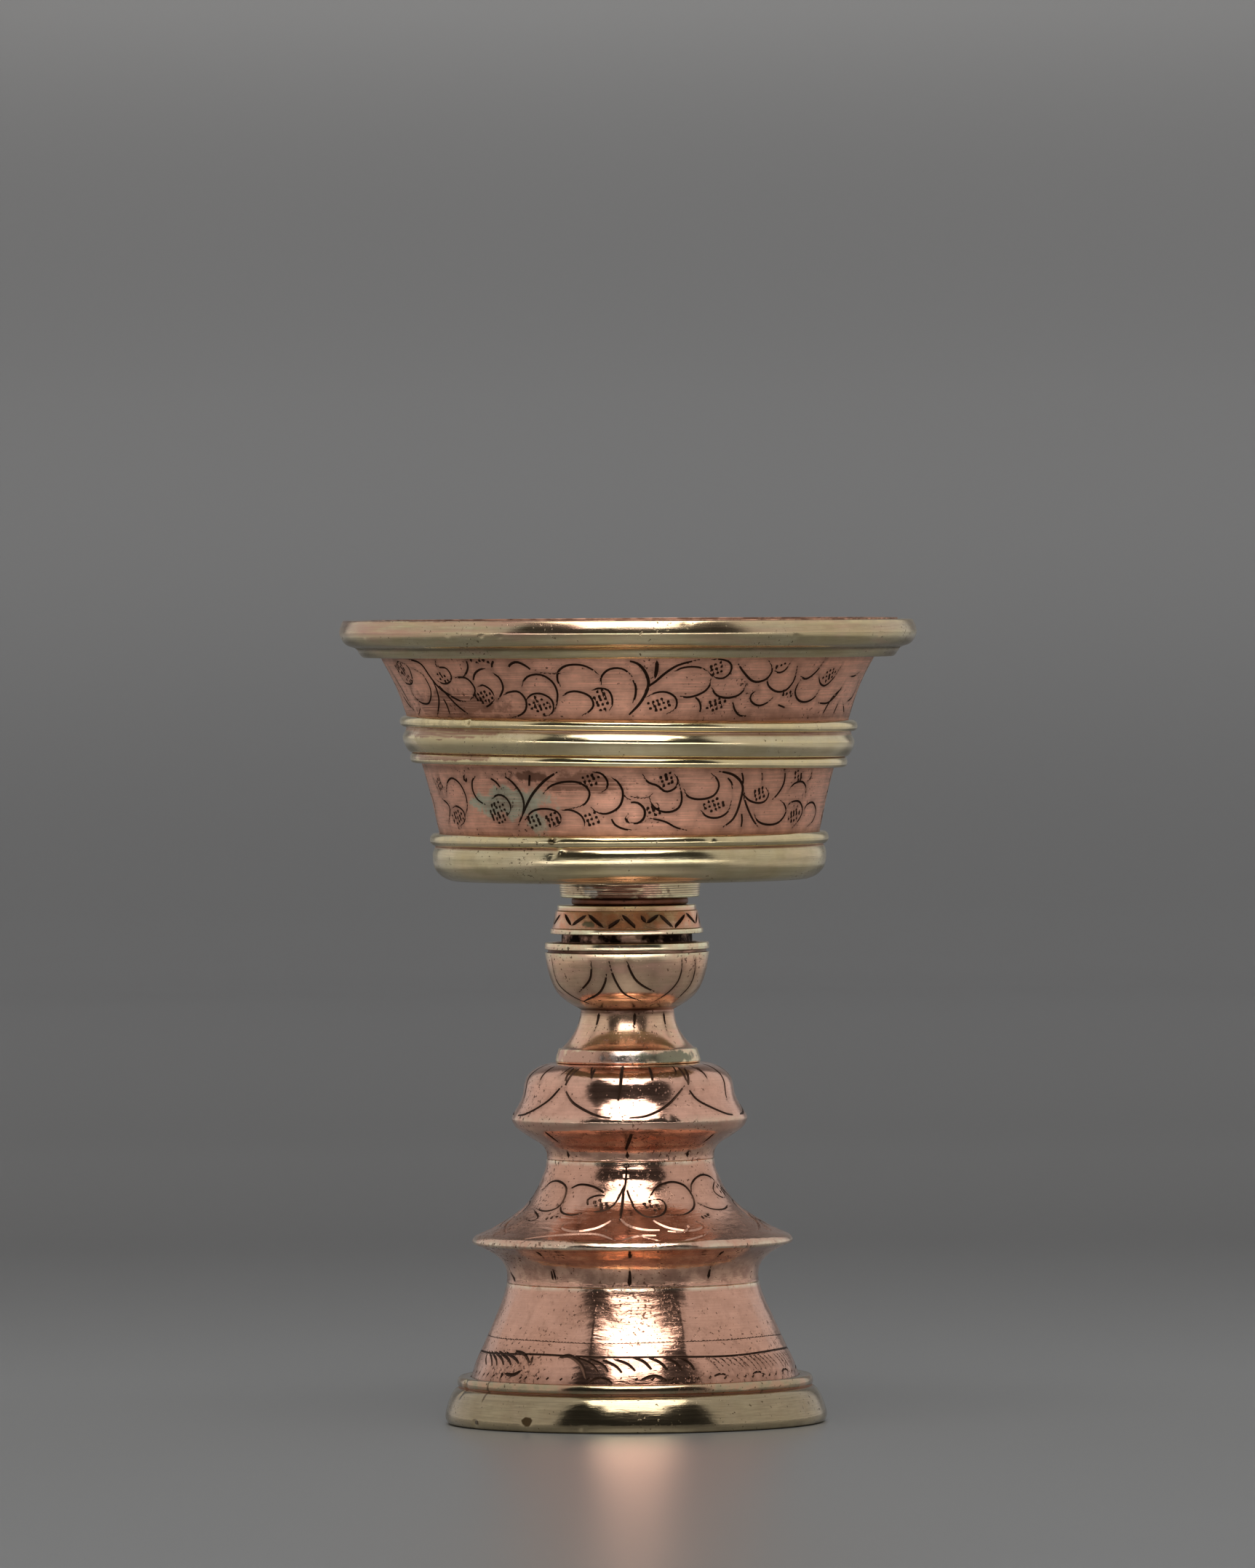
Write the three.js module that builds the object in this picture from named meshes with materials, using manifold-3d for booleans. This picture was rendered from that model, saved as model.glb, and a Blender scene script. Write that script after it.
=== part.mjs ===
// Butter lamp: a copper bowl with brass mouldings that screws onto a turned stem and a hollow copper foot.
// Millimetres, +Z up, origin on the axis at the surface that the lamp stands on.

import * as THREE from 'three';
import { mergeVertices } from 'three/addons/utils/BufferGeometryUtils.js';
import Module from 'manifold-3d';

const wasm = await Module();
wasm.setup();

// Driving dimensions

const sidesOfTurnedPiece = 32;
const sidesOfSmallPiece = 16;
const sidesOfNut = 6;

// Gaps: a solder film between curved pieces, and a pin in its hole
const solderGap = 0.15;
const pinGap = 0.3;

// Foot ring
const ringProud = 2.4;
const ringHeight = 6.3;
const ringFlangeWidth = 1.5;
const ringFlangeThickness = 1.4;
const ringFlangeRounding = 0.3;
const ringLedgeHeight = 0.6;
const ringLedgeWidth = 1.0;

// Skirt of the foot
const skirtHeight = 17.8;
const skirtLowerRadius = 22.6;
const skirtUpperRadius = 16.5;
const skirtWall = 0.9;
const seamFlangeWidth = 1.2;

// Flare above the skirt
const flareUnderHeight = 5.55;
const flareOverHeight = 10.55;
const flareOverhang = 4.4;
const flareNeckRadius = 10.95;
const flareWall = 0.9;

// Lotus dome above the flare
const lotusUnderHeight = 5.3;
const lotusOverHeight = 7.25;
const lotusOverhang = 4.45;
const lotusTopMargin = 0.9;
const lotusWall = 0.9;

// Stem
const discRadius = 9.33;
const discHeight = 1.9;
const waistHeight = 5.15;
const waistRadius = 6.05;
const bulbHeight = 7.4;
const bulbRadius = 10.75;
const bulbGrooveHeight = 0.4;
const bulbGrooveDepth = 0.4;
const bulbLipHeight = 0.9;
const stemNeckHeight = 1.15;
const stemNeckRadius = 8.55;
const zigzagHeight = 3.75;
const zigzagLowerRadius = 10.0;
const zigzagUpperRadius = 9.05;
const zigzagLipHeight = 0.7;
const zigzagLipDepth = 0.2;

// Tang of the stem, with its washer and nut inside the foot
const tangRadius = 2.8;
const tangEnd = 0.8;
const tangWasherThickness = 0.8;
const tangWasherWidth = 3.2;
const nutThickness = 2.6;
const nutWidth = 1.9;

// Screw joint between the stem and the bowl
const threadPitch = 1.5;
const threadTurns = 4;
const threadRootRadius = 3.2;
const threadDepth = 0.7;
const threadBaseWidth = 0.9;
const threadCrestWidth = 0.3;
const threadRadialGap = 0.25;
const threadAxialGap = 0.2;
const threadRunOut = 0.5;
const spigotTip = 0.5;
const boreEndGap = 0.5;
const shankRadius = 3.0;

// Seat washer between the stem and the collar
const seatWasherThickness = 0.95;
const seatWasherRadius = 7.65;

// Collar under the bowl
const collarHeight = 2.2;
const collarUpperRadius = 9.35;
const collarLowerRadius = 9.1;
const tenonRadius = 3.0;
const tenonEnd = 1.0;

// Brass pan round the bottom of the bowl
const panPlate = 1.2;
const panHeight = 6.4;
const panHeelWidth = 3.05;
const panThickness = 1.4;
const panBeadProud = 0.35;
const panBeadHeight = 1.8;
const panGrooveDepth = 0.45;

// Copper bowl
const bowlWall = 1.0;
const bowlFloorRadius = 21.6;
const bowlHeelHeight = 2.6;
const bowlHeelWidth = 2.6;
const bowlLowerWallHeight = 11.2;
const bowlLowerWallFlare = 2.7;
const bowlUpperWallHeight = 19.2;
const bowlUpperWallFlare = 8.5;

// Brass waist band
const waistBandHeight = 6.4;
const waistBandThickness = 1.4;
const waistBandLowBead = 1.25;
const waistBandTopBead = 1.7;
const waistBandBulge = 0.75;

// Brass rim band
const rimBandHeight = 4.9;
const rimBandRidgeThickness = 3.8;
const rimBandTopThickness = 1.75;
const rimBandRidgeDrop = 1.9;
const rimBandStepHeight = 1.35;
const rimBandStepThickness = 2.2;
const rimBandFootThickness = 2.25;
const rimLipRise = 0.15;

// Wick holder in the middle of the bowl's floor
const wickHolderHeight = 3.6;
const wickHolderFootWidth = 1.5;
const wickHolderTopWidth = 1.1;
const wickHoleRadius = 0.8;
const wickHolderRoof = 0.6;

// Radii that follow from what a piece stands on or goes round
const ringRadius = skirtLowerRadius + ringProud;
const flareEdgeRadius = skirtUpperRadius + flareOverhang;
const lotusEdgeRadius = flareNeckRadius + lotusOverhang;
const lotusTopRadius = discRadius + lotusTopMargin;
const bowlHeelRadius = bowlFloorRadius + bowlHeelWidth;
const bowlWaistRadius = bowlHeelRadius + bowlLowerWallFlare;
const bowlLipRadius = bowlWaistRadius + bowlUpperWallFlare;
const panBellyRadius = bowlHeelRadius + solderGap + panThickness;
const wickSocketRadius = tenonRadius + pinGap;
const wickFootRadius = wickSocketRadius + wickHolderFootWidth;

// Heights that the pieces stack up to
const skirtTopZ = ringLedgeHeight + skirtHeight;
const flareEdgeZ = skirtTopZ + flareUnderHeight;
const flareTopZ = flareEdgeZ + flareOverHeight;
const lotusEdgeZ = flareTopZ + lotusUnderHeight;
const lotusTopZ = lotusEdgeZ + lotusOverHeight;
const discTopZ = lotusTopZ + discHeight;
const waistTopZ = discTopZ + waistHeight;
const bulbTopZ = waistTopZ + bulbHeight;
const bulbLipBottomZ = bulbTopZ + bulbGrooveHeight;
const bulbLipTopZ = bulbLipBottomZ + bulbLipHeight;
const zigzagBottomZ = bulbLipTopZ + stemNeckHeight;
const stemTopZ = zigzagBottomZ + zigzagHeight;
const collarBottomZ = stemTopZ + seatWasherThickness;
const panBottomZ = collarBottomZ + collarHeight;
const bowlBottomZ = panBottomZ + panPlate;
const bowlFloorZ = bowlBottomZ + bowlWall;
const bowlWaistZ = bowlBottomZ + bowlHeelHeight + bowlLowerWallHeight;
const bowlLipZ = bowlWaistZ + bowlUpperWallHeight;
const rimBandTopZ = bowlLipZ - rimLipRise;
const threadTopZ = stemTopZ - threadRunOut;
const threadBottomZ = threadTopZ - threadPitch * threadTurns;
const spigotTipZ = threadBottomZ - spigotTip;

const copper = { color: 0xc98468, roughness: 0.38, metalness: 1 };
const darkCopper = { color: 0x7a4c3c, roughness: 0.55, metalness: 1 };
const brass = { color: 0xb9a56c, roughness: 0.35, metalness: 1 };
const gildingMetal = { color: 0xc09a78, roughness: 0.3, metalness: 1 };

// Outlines are lists of [radius, height] on one side of the axis.

// Points from one corner to another, given as shares of the two spans between them
function curveBetween([r0, z0], [r1, z1], shares) {
  return shares.map(([across, up]) => [r0 + across * (r1 - r0), z0 + up * (z1 - z0)]);
}

// Points along the line between two corners, pushed out in a half wave
function bead([r0, z0], [r1, z1], proud, steps) {
  return Array.from({ length: steps + 1 }, (_, i) => {
    const t = i / steps;
    return [r0 + t * (r1 - r0) + proud * Math.sin(Math.PI * t), z0 + t * (z1 - z0)];
  });
}

function crossing([p, d], [q, e]) {
  const turn = d[0] * e[1] - d[1] * e[0];
  if (Math.abs(turn) < 1e-9) return [q[0], q[1]];
  const along = ((q[0] - p[0]) * e[1] - (q[1] - p[1]) * e[0]) / turn;
  return [p[0] + along * d[0], p[1] + along * d[1]];
}

// The inside of a sheet whose outside is the outline. Each straight side moves in by the wall,
// and a side that this would turn round, as in a tight lip, is left out.
function insideOf(outline, wall) {
  let sides = outline.slice(1).map((end, i) => {
    const start = outline[i];
    const length = Math.hypot(end[0] - start[0], end[1] - start[1]);
    const along = [(end[0] - start[0]) / length, (end[1] - start[1]) / length];
    return [[start[0] - wall * along[1], start[1] + wall * along[0]], along];
  });
  const cutAt = ([r, z], [, along]) =>
    [[r, z], Math.abs(along[0]) > Math.abs(along[1]) ? [0, 1] : [1, 0]];
  for (;;) {
    const corners = [crossing(sides[0], cutAt(outline[0], sides[0]))];
    for (let i = 1; i < sides.length; i++) corners.push(crossing(sides[i - 1], sides[i]));
    const last = sides[sides.length - 1];
    corners.push(crossing(last, cutAt(outline[outline.length - 1], last)));
    const lengths = sides.map(([, along], i) =>
      (corners[i + 1][0] - corners[i][0]) * along[0] + (corners[i + 1][1] - corners[i][1]) * along[1]);
    const worst = lengths.indexOf(Math.min(...lengths));
    if (lengths[worst] > 0) return corners;
    sides = sides.filter((_, i) => i !== worst);
  }
}

function sheet(outline, wall) {
  return [...outline, ...insideOf(outline, wall).reverse()];
}

function radiusAt(outline, z) {
  const i = outline.findIndex((_, k) => k > 0 && outline[k - 1][1] <= z && z <= outline[k][1]);
  const [[r0, z0], [r1, z1]] = [outline[i - 1], outline[i]];
  return z1 === z0 ? Math.max(r0, r1) : r0 + (r1 - r0) * (z - z0) / (z1 - z0);
}

// The outline again between two heights, moved out by a gap, for what is fitted round it
function fittedRound(outline, lowZ, highZ, gap) {
  const between = outline.filter(([, z]) => z > lowZ && z < highZ);
  return [[radiusAt(outline, lowZ), lowZ], ...between, [radiusAt(outline, highZ), highZ]]
    .map(([r, z]) => [r + gap, z]);
}

// Outlines that more than one piece follows

const skirtOutline = curveBetween([skirtLowerRadius, ringLedgeHeight], [skirtUpperRadius, skirtTopZ],
  [[0, 0], [0.2, 0.32], [0.44, 0.53], [0.7, 0.72], [0.95, 0.94], [1, 1]]);

const bowlOutline = [
  [bowlFloorRadius, bowlBottomZ],
  ...curveBetween([bowlFloorRadius, bowlBottomZ], [bowlHeelRadius, bowlBottomZ + bowlHeelHeight],
    [[0.55, 0.14], [0.88, 0.5], [1, 1]]),
  ...curveBetween([bowlHeelRadius, bowlBottomZ + bowlHeelHeight], [bowlWaistRadius, bowlWaistZ],
    [[0.27, 0.27], [0.6, 0.64], [1, 1]]),
  ...curveBetween([bowlWaistRadius, bowlWaistZ], [bowlLipRadius, bowlLipZ],
    [[0.12, 0.16], [0.245, 0.35], [0.415, 0.56], [0.645, 0.75], [0.83, 0.89], [1, 1]]),
];

// Geometry

function facingOut(geometry) {
  const p = geometry.getAttribute('position');
  const index = geometry.getIndex();
  let volume = 0;
  const [a, b, c] = [new THREE.Vector3(), new THREE.Vector3(), new THREE.Vector3()];
  for (let i = 0; i < index.count; i += 3) {
    a.fromBufferAttribute(p, index.getX(i));
    b.fromBufferAttribute(p, index.getX(i + 1));
    c.fromBufferAttribute(p, index.getX(i + 2));
    volume += a.dot(b.cross(c));
  }
  if (volume < 0) {
    for (let i = 0; i < index.count; i += 3) {
      const first = index.getX(i);
      index.setX(i, index.getX(i + 1));
      index.setX(i + 1, first);
    }
  }
  return geometry;
}

function turned(outline, sides = sidesOfTurnedPiece) {
  const onAxis = outline[0][0] === 0 && outline[outline.length - 1][0] === 0;
  const closed = onAxis ? outline : [...outline, outline[0]];
  const geometry = new THREE.LatheGeometry(closed.map(([r, z]) => new THREE.Vector2(r, z)), sides);
  geometry.rotateX(Math.PI / 2);
  return facingOut(geometry);
}

function solidOf(geometry) {
  const bare = geometry.clone();
  bare.deleteAttribute('normal');
  bare.deleteAttribute('uv');
  const merged = mergeVertices(bare, 1e-5);
  const index = Array.from(merged.getIndex().array);
  const kept = [];
  for (let i = 0; i < index.length; i += 3) {
    const [a, b, c] = index.slice(i, i + 3);
    if (a !== b && b !== c && c !== a) kept.push(a, b, c);
  }
  return new wasm.Manifold(new wasm.Mesh({
    numProp: 3,
    vertProperties: new Float32Array(merged.getAttribute('position').array),
    triVerts: new Uint32Array(kept),
  }));
}

function geometryOf(solid) {
  const mesh = solid.getMesh();
  const geometry = new THREE.BufferGeometry();
  geometry.setAttribute('position', new THREE.BufferAttribute(mesh.vertProperties, 3));
  geometry.setIndex(new THREE.BufferAttribute(mesh.triVerts, 1));
  geometry.computeVertexNormals();
  return geometry;
}

// One unbroken ridge of a screw, from one turn to another, that climbs a pitch in each turn.
// The section is a list of [radius, height] about the ridge's middle.
function screwRidge(section, middleZ, fromTurn, toTurn) {
  const steps = Math.ceil((toTurn - fromTurn) * sidesOfSmallPiece);
  const corners = section.length;
  const points = [];
  for (let i = 0; i <= steps; i++) {
    const turn = fromTurn + (toTurn - fromTurn) * i / steps;
    const angle = 2 * Math.PI * turn;
    for (const [r, z] of section) {
      points.push(r * Math.cos(angle), r * Math.sin(angle), middleZ + z + threadPitch * turn);
    }
  }
  const faces = [];
  for (let i = 0; i < steps; i++) {
    for (let k = 0; k < corners; k++) {
      const here = i * corners + k;
      const next = i * corners + (k + 1) % corners;
      faces.push(here, here + corners, next, next, here + corners, next + corners);
    }
  }
  const end = steps * corners;
  for (let k = 1; k < corners - 1; k++) faces.push(0, k, k + 1, end, end + k + 1, end + k);
  const geometry = new THREE.BufferGeometry();
  geometry.setAttribute('position', new THREE.BufferAttribute(new Float32Array(points), 3));
  geometry.setIndex(faces);
  return facingOut(geometry);
}

// Half the width of the screw's ridge at a radius
function ridgeHalfWidth(radius) {
  const share = (radius - threadRootRadius) / threadDepth;
  return (threadBaseWidth + share * (threadCrestWidth - threadBaseWidth)) / 2;
}

function ridgeSection(innerRadius, outerRadius, sideGap) {
  const [inner, outer] = [ridgeHalfWidth(innerRadius) + sideGap, ridgeHalfWidth(outerRadius) + sideGap];
  return [[innerRadius, -inner], [outerRadius, -outer], [outerRadius, outer], [innerRadius, inner]];
}

// Sub-parts

const lamp = new THREE.Group();

function addPiece(name, geometry, finish) {
  const mesh = new THREE.Mesh(geometry, new THREE.MeshStandardMaterial(finish));
  mesh.name = name;
  lamp.add(mesh);
}

function footRing() {
  const grooveZ = ringHeight - ringFlangeThickness;
  const flangeRadius = radiusAt(skirtOutline, grooveZ) + ringFlangeWidth;
  const profile = [
    ...curveBetween([ringRadius, 0], [flangeRadius, grooveZ],
      [[0.2, 0], [0, 0.3], [0.03, 0.45], [0.17, 0.68], [0.36, 0.84], [0.75, 0.95], [1.15, 1]]),
    [flangeRadius, grooveZ + ringFlangeRounding],
    [flangeRadius, ringHeight - ringFlangeRounding],
    [flangeRadius - ringFlangeRounding, ringHeight],
    ...fittedRound(skirtOutline, ringLedgeHeight, ringHeight, solderGap).reverse(),
    [skirtLowerRadius - ringLedgeWidth, ringLedgeHeight],
    [skirtLowerRadius - ringLedgeWidth, 0],
  ];
  addPiece('foot_ring', turned(profile), brass);
}

function footSkirt() {
  const flange = [skirtUpperRadius - skirtWall - seamFlangeWidth, skirtTopZ];
  addPiece('foot_skirt', turned(sheet([...skirtOutline, flange], skirtWall)), copper);
}

function footFlare() {
  const outline = [
    ...curveBetween([skirtUpperRadius, skirtTopZ], [flareEdgeRadius, flareEdgeZ],
      [[0, 0], [-0.02, 0.18], [0.07, 0.42], [0.35, 0.66], [0.87, 0.89], [1, 1]]),
    ...curveBetween([flareEdgeRadius, flareEdgeZ], [flareNeckRadius, flareTopZ],
      [[0.07, 0.09], [0.34, 0.195], [0.56, 0.305], [0.8, 0.52], [0.94, 0.76], [1, 1]]),
    [flareNeckRadius - flareWall - seamFlangeWidth, flareTopZ],
  ];
  addPiece('foot_flare', turned(sheet(outline, flareWall)), copper);
}

function footLotus() {
  const outline = [
    ...curveBetween([flareNeckRadius, flareTopZ], [lotusEdgeRadius, lotusEdgeZ],
      [[0, 0], [0.01, 0.22], [0.18, 0.38], [0.5, 0.55], [0.865, 0.775], [1, 1]]),
    ...curveBetween([lotusEdgeRadius, lotusEdgeZ], [lotusTopRadius, lotusTopZ],
      [[0.095, 0.15], [0.21, 0.29], [0.345, 0.58], [0.44, 0.745], [0.79, 0.96], [1, 1]]),
    [tangRadius + pinGap, lotusTopZ],
  ];
  addPiece('foot_lotus', turned(sheet(outline, lotusWall)), copper);
}

const tangWasherTopZ = lotusTopZ - lotusWall;
const nutTopZ = tangWasherTopZ - tangWasherThickness;
const nutBottomZ = nutTopZ - nutThickness;

function stem() {
  const outline = [
    [0, nutBottomZ - tangEnd],
    [tangRadius, nutBottomZ - tangEnd],
    [tangRadius, lotusTopZ],
    [discRadius, lotusTopZ],
    ...curveBetween([discRadius, discTopZ], [waistRadius, waistTopZ],
      [[0, 0], [0.42, 0.2], [0.62, 0.32], [0.83, 0.53], [0.95, 0.76], [1, 1]]),
    ...curveBetween([waistRadius, waistTopZ], [bulbRadius, bulbTopZ],
      [[0.2, 0.07], [0.42, 0.17], [0.67, 0.32], [0.82, 0.5], [0.945, 0.74], [1, 1]]),
    [bulbRadius - bulbGrooveDepth, bulbTopZ],
    [bulbRadius - bulbGrooveDepth, bulbLipBottomZ],
    [bulbRadius, bulbLipBottomZ],
    [bulbRadius, bulbLipTopZ],
    [stemNeckRadius, bulbLipTopZ],
    [stemNeckRadius, zigzagBottomZ],
    [zigzagLowerRadius, zigzagBottomZ],
    [zigzagLowerRadius, zigzagBottomZ + zigzagLipHeight],
    [zigzagLowerRadius - zigzagLipDepth, zigzagBottomZ + zigzagLipHeight],
    [zigzagUpperRadius + zigzagLipDepth, stemTopZ - zigzagLipHeight],
    [zigzagUpperRadius, stemTopZ - zigzagLipHeight],
    [zigzagUpperRadius, stemTopZ],
    [0, stemTopZ],
  ];
  const boreRadius = threadRootRadius + threadRadialGap;
  const bore = [
    [0, spigotTipZ - boreEndGap],
    [boreRadius, spigotTipZ - boreEndGap],
    [boreRadius, stemTopZ + threadPitch],
    [0, stemTopZ + threadPitch],
  ];
  // The groove starts a little before the ridge that runs in it and goes on through the top face
  const leadTurns = 0.15;
  const grooveRadius = threadRootRadius + threadDepth + threadRadialGap;
  const groove = ridgeSection(threadRootRadius, grooveRadius, threadAxialGap);
  const tap = solidOf(turned(bore, sidesOfSmallPiece))
    .add(solidOf(screwRidge(groove, threadBottomZ, -leadTurns, threadTurns + 1)));
  addPiece('stem', geometryOf(solidOf(turned(outline)).subtract(tap)), gildingMetal);
}

function tangWasher() {
  const bore = tangRadius + pinGap;
  const rim = tangRadius + tangWasherWidth;
  const profile = [[bore, nutTopZ], [rim, nutTopZ], [rim, tangWasherTopZ], [bore, tangWasherTopZ]];
  addPiece('tang_washer', turned(profile, sidesOfSmallPiece), brass);
}

function tangNut() {
  const corners = Array.from({ length: sidesOfNut }, (_, i) => {
    const angle = 2 * Math.PI * i / sidesOfNut;
    return new THREE.Vector2(Math.cos(angle), Math.sin(angle)).multiplyScalar(tangRadius + nutWidth);
  });
  const outline = new THREE.Shape(corners);
  const hole = new THREE.Path();
  hole.absarc(0, 0, tangRadius + pinGap, 0, 2 * Math.PI, true);
  outline.holes.push(hole);
  const geometry = new THREE.ExtrudeGeometry(outline, {
    depth: nutThickness, bevelEnabled: false, curveSegments: sidesOfSmallPiece,
  });
  geometry.translate(0, 0, nutBottomZ);
  addPiece('tang_nut', geometry, brass);
}

function seatWasher() {
  const bore = shankRadius + pinGap;
  const rim = seatWasherRadius;
  const profile = [[bore, stemTopZ], [rim, stemTopZ], [rim, collarBottomZ], [bore, collarBottomZ]];
  addPiece('seat_washer', turned(profile), darkCopper);
}

function bowlSpigot() {
  const chamfer = spigotTip / 2;
  const outline = [
    [0, spigotTipZ],
    [threadRootRadius - chamfer, spigotTipZ],
    [threadRootRadius, spigotTipZ + chamfer],
    [threadRootRadius, threadTopZ],
    [shankRadius, threadTopZ],
    [shankRadius, collarBottomZ],
    [collarLowerRadius, collarBottomZ],
    [collarUpperRadius, panBottomZ],
    [tenonRadius, panBottomZ],
    [tenonRadius, bowlFloorZ + tenonEnd],
    [0, bowlFloorZ + tenonEnd],
  ];
  const ridge = ridgeSection(threadRootRadius - threadDepth / 2, threadRootRadius + threadDepth, 0);
  // The ridge stays half its base inside each end of its stretch
  const endTurns = threadBaseWidth / threadPitch / 2;
  const thread = screwRidge(ridge, threadBottomZ, endTurns, threadTurns - endTurns);
  addPiece('bowl_spigot', geometryOf(solidOf(turned(outline)).add(solidOf(thread))), brass);
}

function bowlPan() {
  const topZ = panBottomZ + panHeight;
  const grooveZ = topZ - panBeadHeight;
  const floorHole = tenonRadius + pinGap;
  const profile = [
    [floorHole, panBottomZ],
    ...curveBetween([panBellyRadius - panHeelWidth, panBottomZ], [panBellyRadius, grooveZ],
      [[0, 0], [0.24, 0.03], [0.6, 0.13], [0.87, 0.3], [0.97, 0.5], [1, 0.72], [0.97, 0.9]]),
    [panBellyRadius - panGrooveDepth, grooveZ],
    ...bead([panBellyRadius - panGrooveDepth / 2, grooveZ], [panBellyRadius - panGrooveDepth / 2, topZ],
      panBeadProud + panGrooveDepth / 2, 4).slice(1),
    ...fittedRound(bowlOutline, bowlBottomZ, topZ, solderGap).reverse(),
    [floorHole, bowlBottomZ],
  ];
  addPiece('bowl_pan', turned(profile), brass);
}

// The wick holder's foot stands in the hole in the bowl's floor
function bowlShell() {
  const floorHole = [wickFootRadius + pinGap, bowlBottomZ];
  addPiece('bowl_shell', turned(sheet([floorHole, ...bowlOutline], bowlWall)), copper);
}

function waistBand() {
  const topZ = bowlWaistZ + waistBandHeight;
  const lowTopZ = bowlWaistZ + waistBandLowBead;
  const mainTopZ = topZ - waistBandTopBead;
  // The beads stand out of a base face that keeps its distance from the bowl
  const face = waistBandThickness - waistBandBulge / 2;
  const lowRadius = radiusAt(bowlOutline, bowlWaistZ) + face;
  const mainRadius = radiusAt(bowlOutline, mainTopZ) + face;
  const profile = [
    ...bead([lowRadius, bowlWaistZ], [lowRadius, lowTopZ], waistBandBulge / 2, 3),
    ...bead([lowRadius, lowTopZ], [mainRadius, mainTopZ], waistBandBulge, 5).slice(1),
    ...bead([mainRadius, mainTopZ], [mainRadius, topZ], waistBandBulge, 4).slice(1),
    ...fittedRound(bowlOutline, bowlWaistZ, topZ, solderGap).reverse(),
  ];
  addPiece('waist_band', turned(profile), brass);
}

function rimBand() {
  const bottomZ = rimBandTopZ - rimBandHeight;
  const stepZ = bottomZ + rimBandStepHeight;
  const ridgeZ = rimBandTopZ - rimBandRidgeDrop;
  const around = (z, thickness) => [radiusAt(bowlOutline, z) + thickness, z];
  const foot = around(bottomZ, rimBandFootThickness);
  const step = around(stepZ, rimBandStepThickness);
  const profile = [
    foot,
    ...curveBetween(foot, step, [[0.5, 0.35], [1, 0.85]]),
    ...curveBetween(step, around(ridgeZ, rimBandRidgeThickness),
      [[0.15, 0], [0.55, 0.2], [0.85, 0.55], [1, 1]]),
    around(rimBandTopZ, rimBandTopThickness),
    ...fittedRound(bowlOutline, bottomZ, rimBandTopZ, solderGap).reverse(),
  ];
  addPiece('rim_band', turned(profile), brass);
}

function wickHolder() {
  const topZ = bowlFloorZ + wickHolderHeight;
  const roofZ = bowlFloorZ + tenonEnd + wickHolderRoof;
  addPiece('wick_holder', turned([
    [wickSocketRadius, bowlBottomZ],
    [wickFootRadius, bowlBottomZ],
    ...curveBetween([wickFootRadius, bowlFloorZ], [wickHoleRadius + wickHolderTopWidth, topZ],
      [[0, 0.2], [0.45, 0.4], [0.8, 0.7], [1, 1]]),
    [wickHoleRadius, topZ],
    [wickHoleRadius, roofZ],
    [wickSocketRadius, roofZ],
  ], sidesOfSmallPiece), brass);
}

footRing();
footSkirt();
footFlare();
footLotus();
stem();
tangWasher();
tangNut();
seatWasher();
bowlSpigot();
bowlPan();
bowlShell();
waistBand();
rimBand();
wickHolder();

export default lamp;
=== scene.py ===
# Butter lamp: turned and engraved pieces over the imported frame, studio, camera and lights.
# Sizes inside this script are in millimetres and become metres when a mesh is made.
# Angles run round the axis: 0 faces the camera and positive angles turn towards +X.

import math
import random
import bpy
import numpy as np
from mathutils import Euler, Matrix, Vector, kdtree
from mathutils.geometry import delaunay_2d_cdt


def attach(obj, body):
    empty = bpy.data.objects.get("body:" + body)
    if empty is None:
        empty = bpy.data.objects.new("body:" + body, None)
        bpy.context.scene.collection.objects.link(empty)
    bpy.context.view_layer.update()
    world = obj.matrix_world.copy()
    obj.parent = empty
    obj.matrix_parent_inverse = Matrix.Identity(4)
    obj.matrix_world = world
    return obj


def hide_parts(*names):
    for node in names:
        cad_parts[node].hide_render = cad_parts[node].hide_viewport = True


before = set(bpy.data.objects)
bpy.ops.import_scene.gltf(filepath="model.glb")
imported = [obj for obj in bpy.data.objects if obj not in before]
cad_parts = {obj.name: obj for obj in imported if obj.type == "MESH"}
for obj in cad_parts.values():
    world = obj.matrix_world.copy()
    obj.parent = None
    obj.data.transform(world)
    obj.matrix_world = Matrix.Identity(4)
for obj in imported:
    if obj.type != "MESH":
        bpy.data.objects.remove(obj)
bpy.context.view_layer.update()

MM = 0.001
TURN = 2 * math.pi
# A pattern of the photographed front is cut again half a turn on
TWICE = (0.0, math.pi)
SIDES = (-math.pi / 2, math.pi / 2)

# Columns of a turned mesh
SEGMENTS = 256
# Strokes of the graver: the distance between their points, the half width under which one is a single
# line, and the strip beside one that has no other points
STROKE_STEP = 0.46
THINNEST = 0.012
CLEAR_STRIP = 0.16
# The border of a zone: how far the middles and the edges of strokes stay from it, how near it a point is
# taken as lying on it, and the distance over which cuts grow shallow towards it
BORDER_STRIP = 0.06
BORDER_GAP = 0.02
ON_BORDER = 0.002
BORDER_FADE = 0.3
# A fine stroke is cut as deep as another and holds this share of its dirt; dirt spreads this far from a cut
FINE_INK = 0.15
DIRT_REACH = 0.22
# A face deeper than this is inside a cut, and its normal is mostly its own
SHALLOWEST = 0.010
FACET_SHARE = 0.75
# Screw and nut: edges that bend more than this stay sharp
SHARP = math.cos(math.radians(28))
# How far along an outline a corner is felt as bent, for dirt and wear
BEND_REACH = 0.35
# Points of a mesh closer than this are one point
WELD = 0.0004

# The photograph: its size, pixels per millimetre at the axis, where the axis meets the floor, and the camera
IMAGE_SIZE = (1725, 2156)
PHOTO_SCALE = 10.525
PHOTO_FLOOR_Y = 1956.0
AXIS_X = 862.5
EYE_HEIGHT = 112.0
EYE_DISTANCE = 1750.0
CAMERA_ROLL = 0.40


# Outlines: lists of (radius, height)

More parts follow.
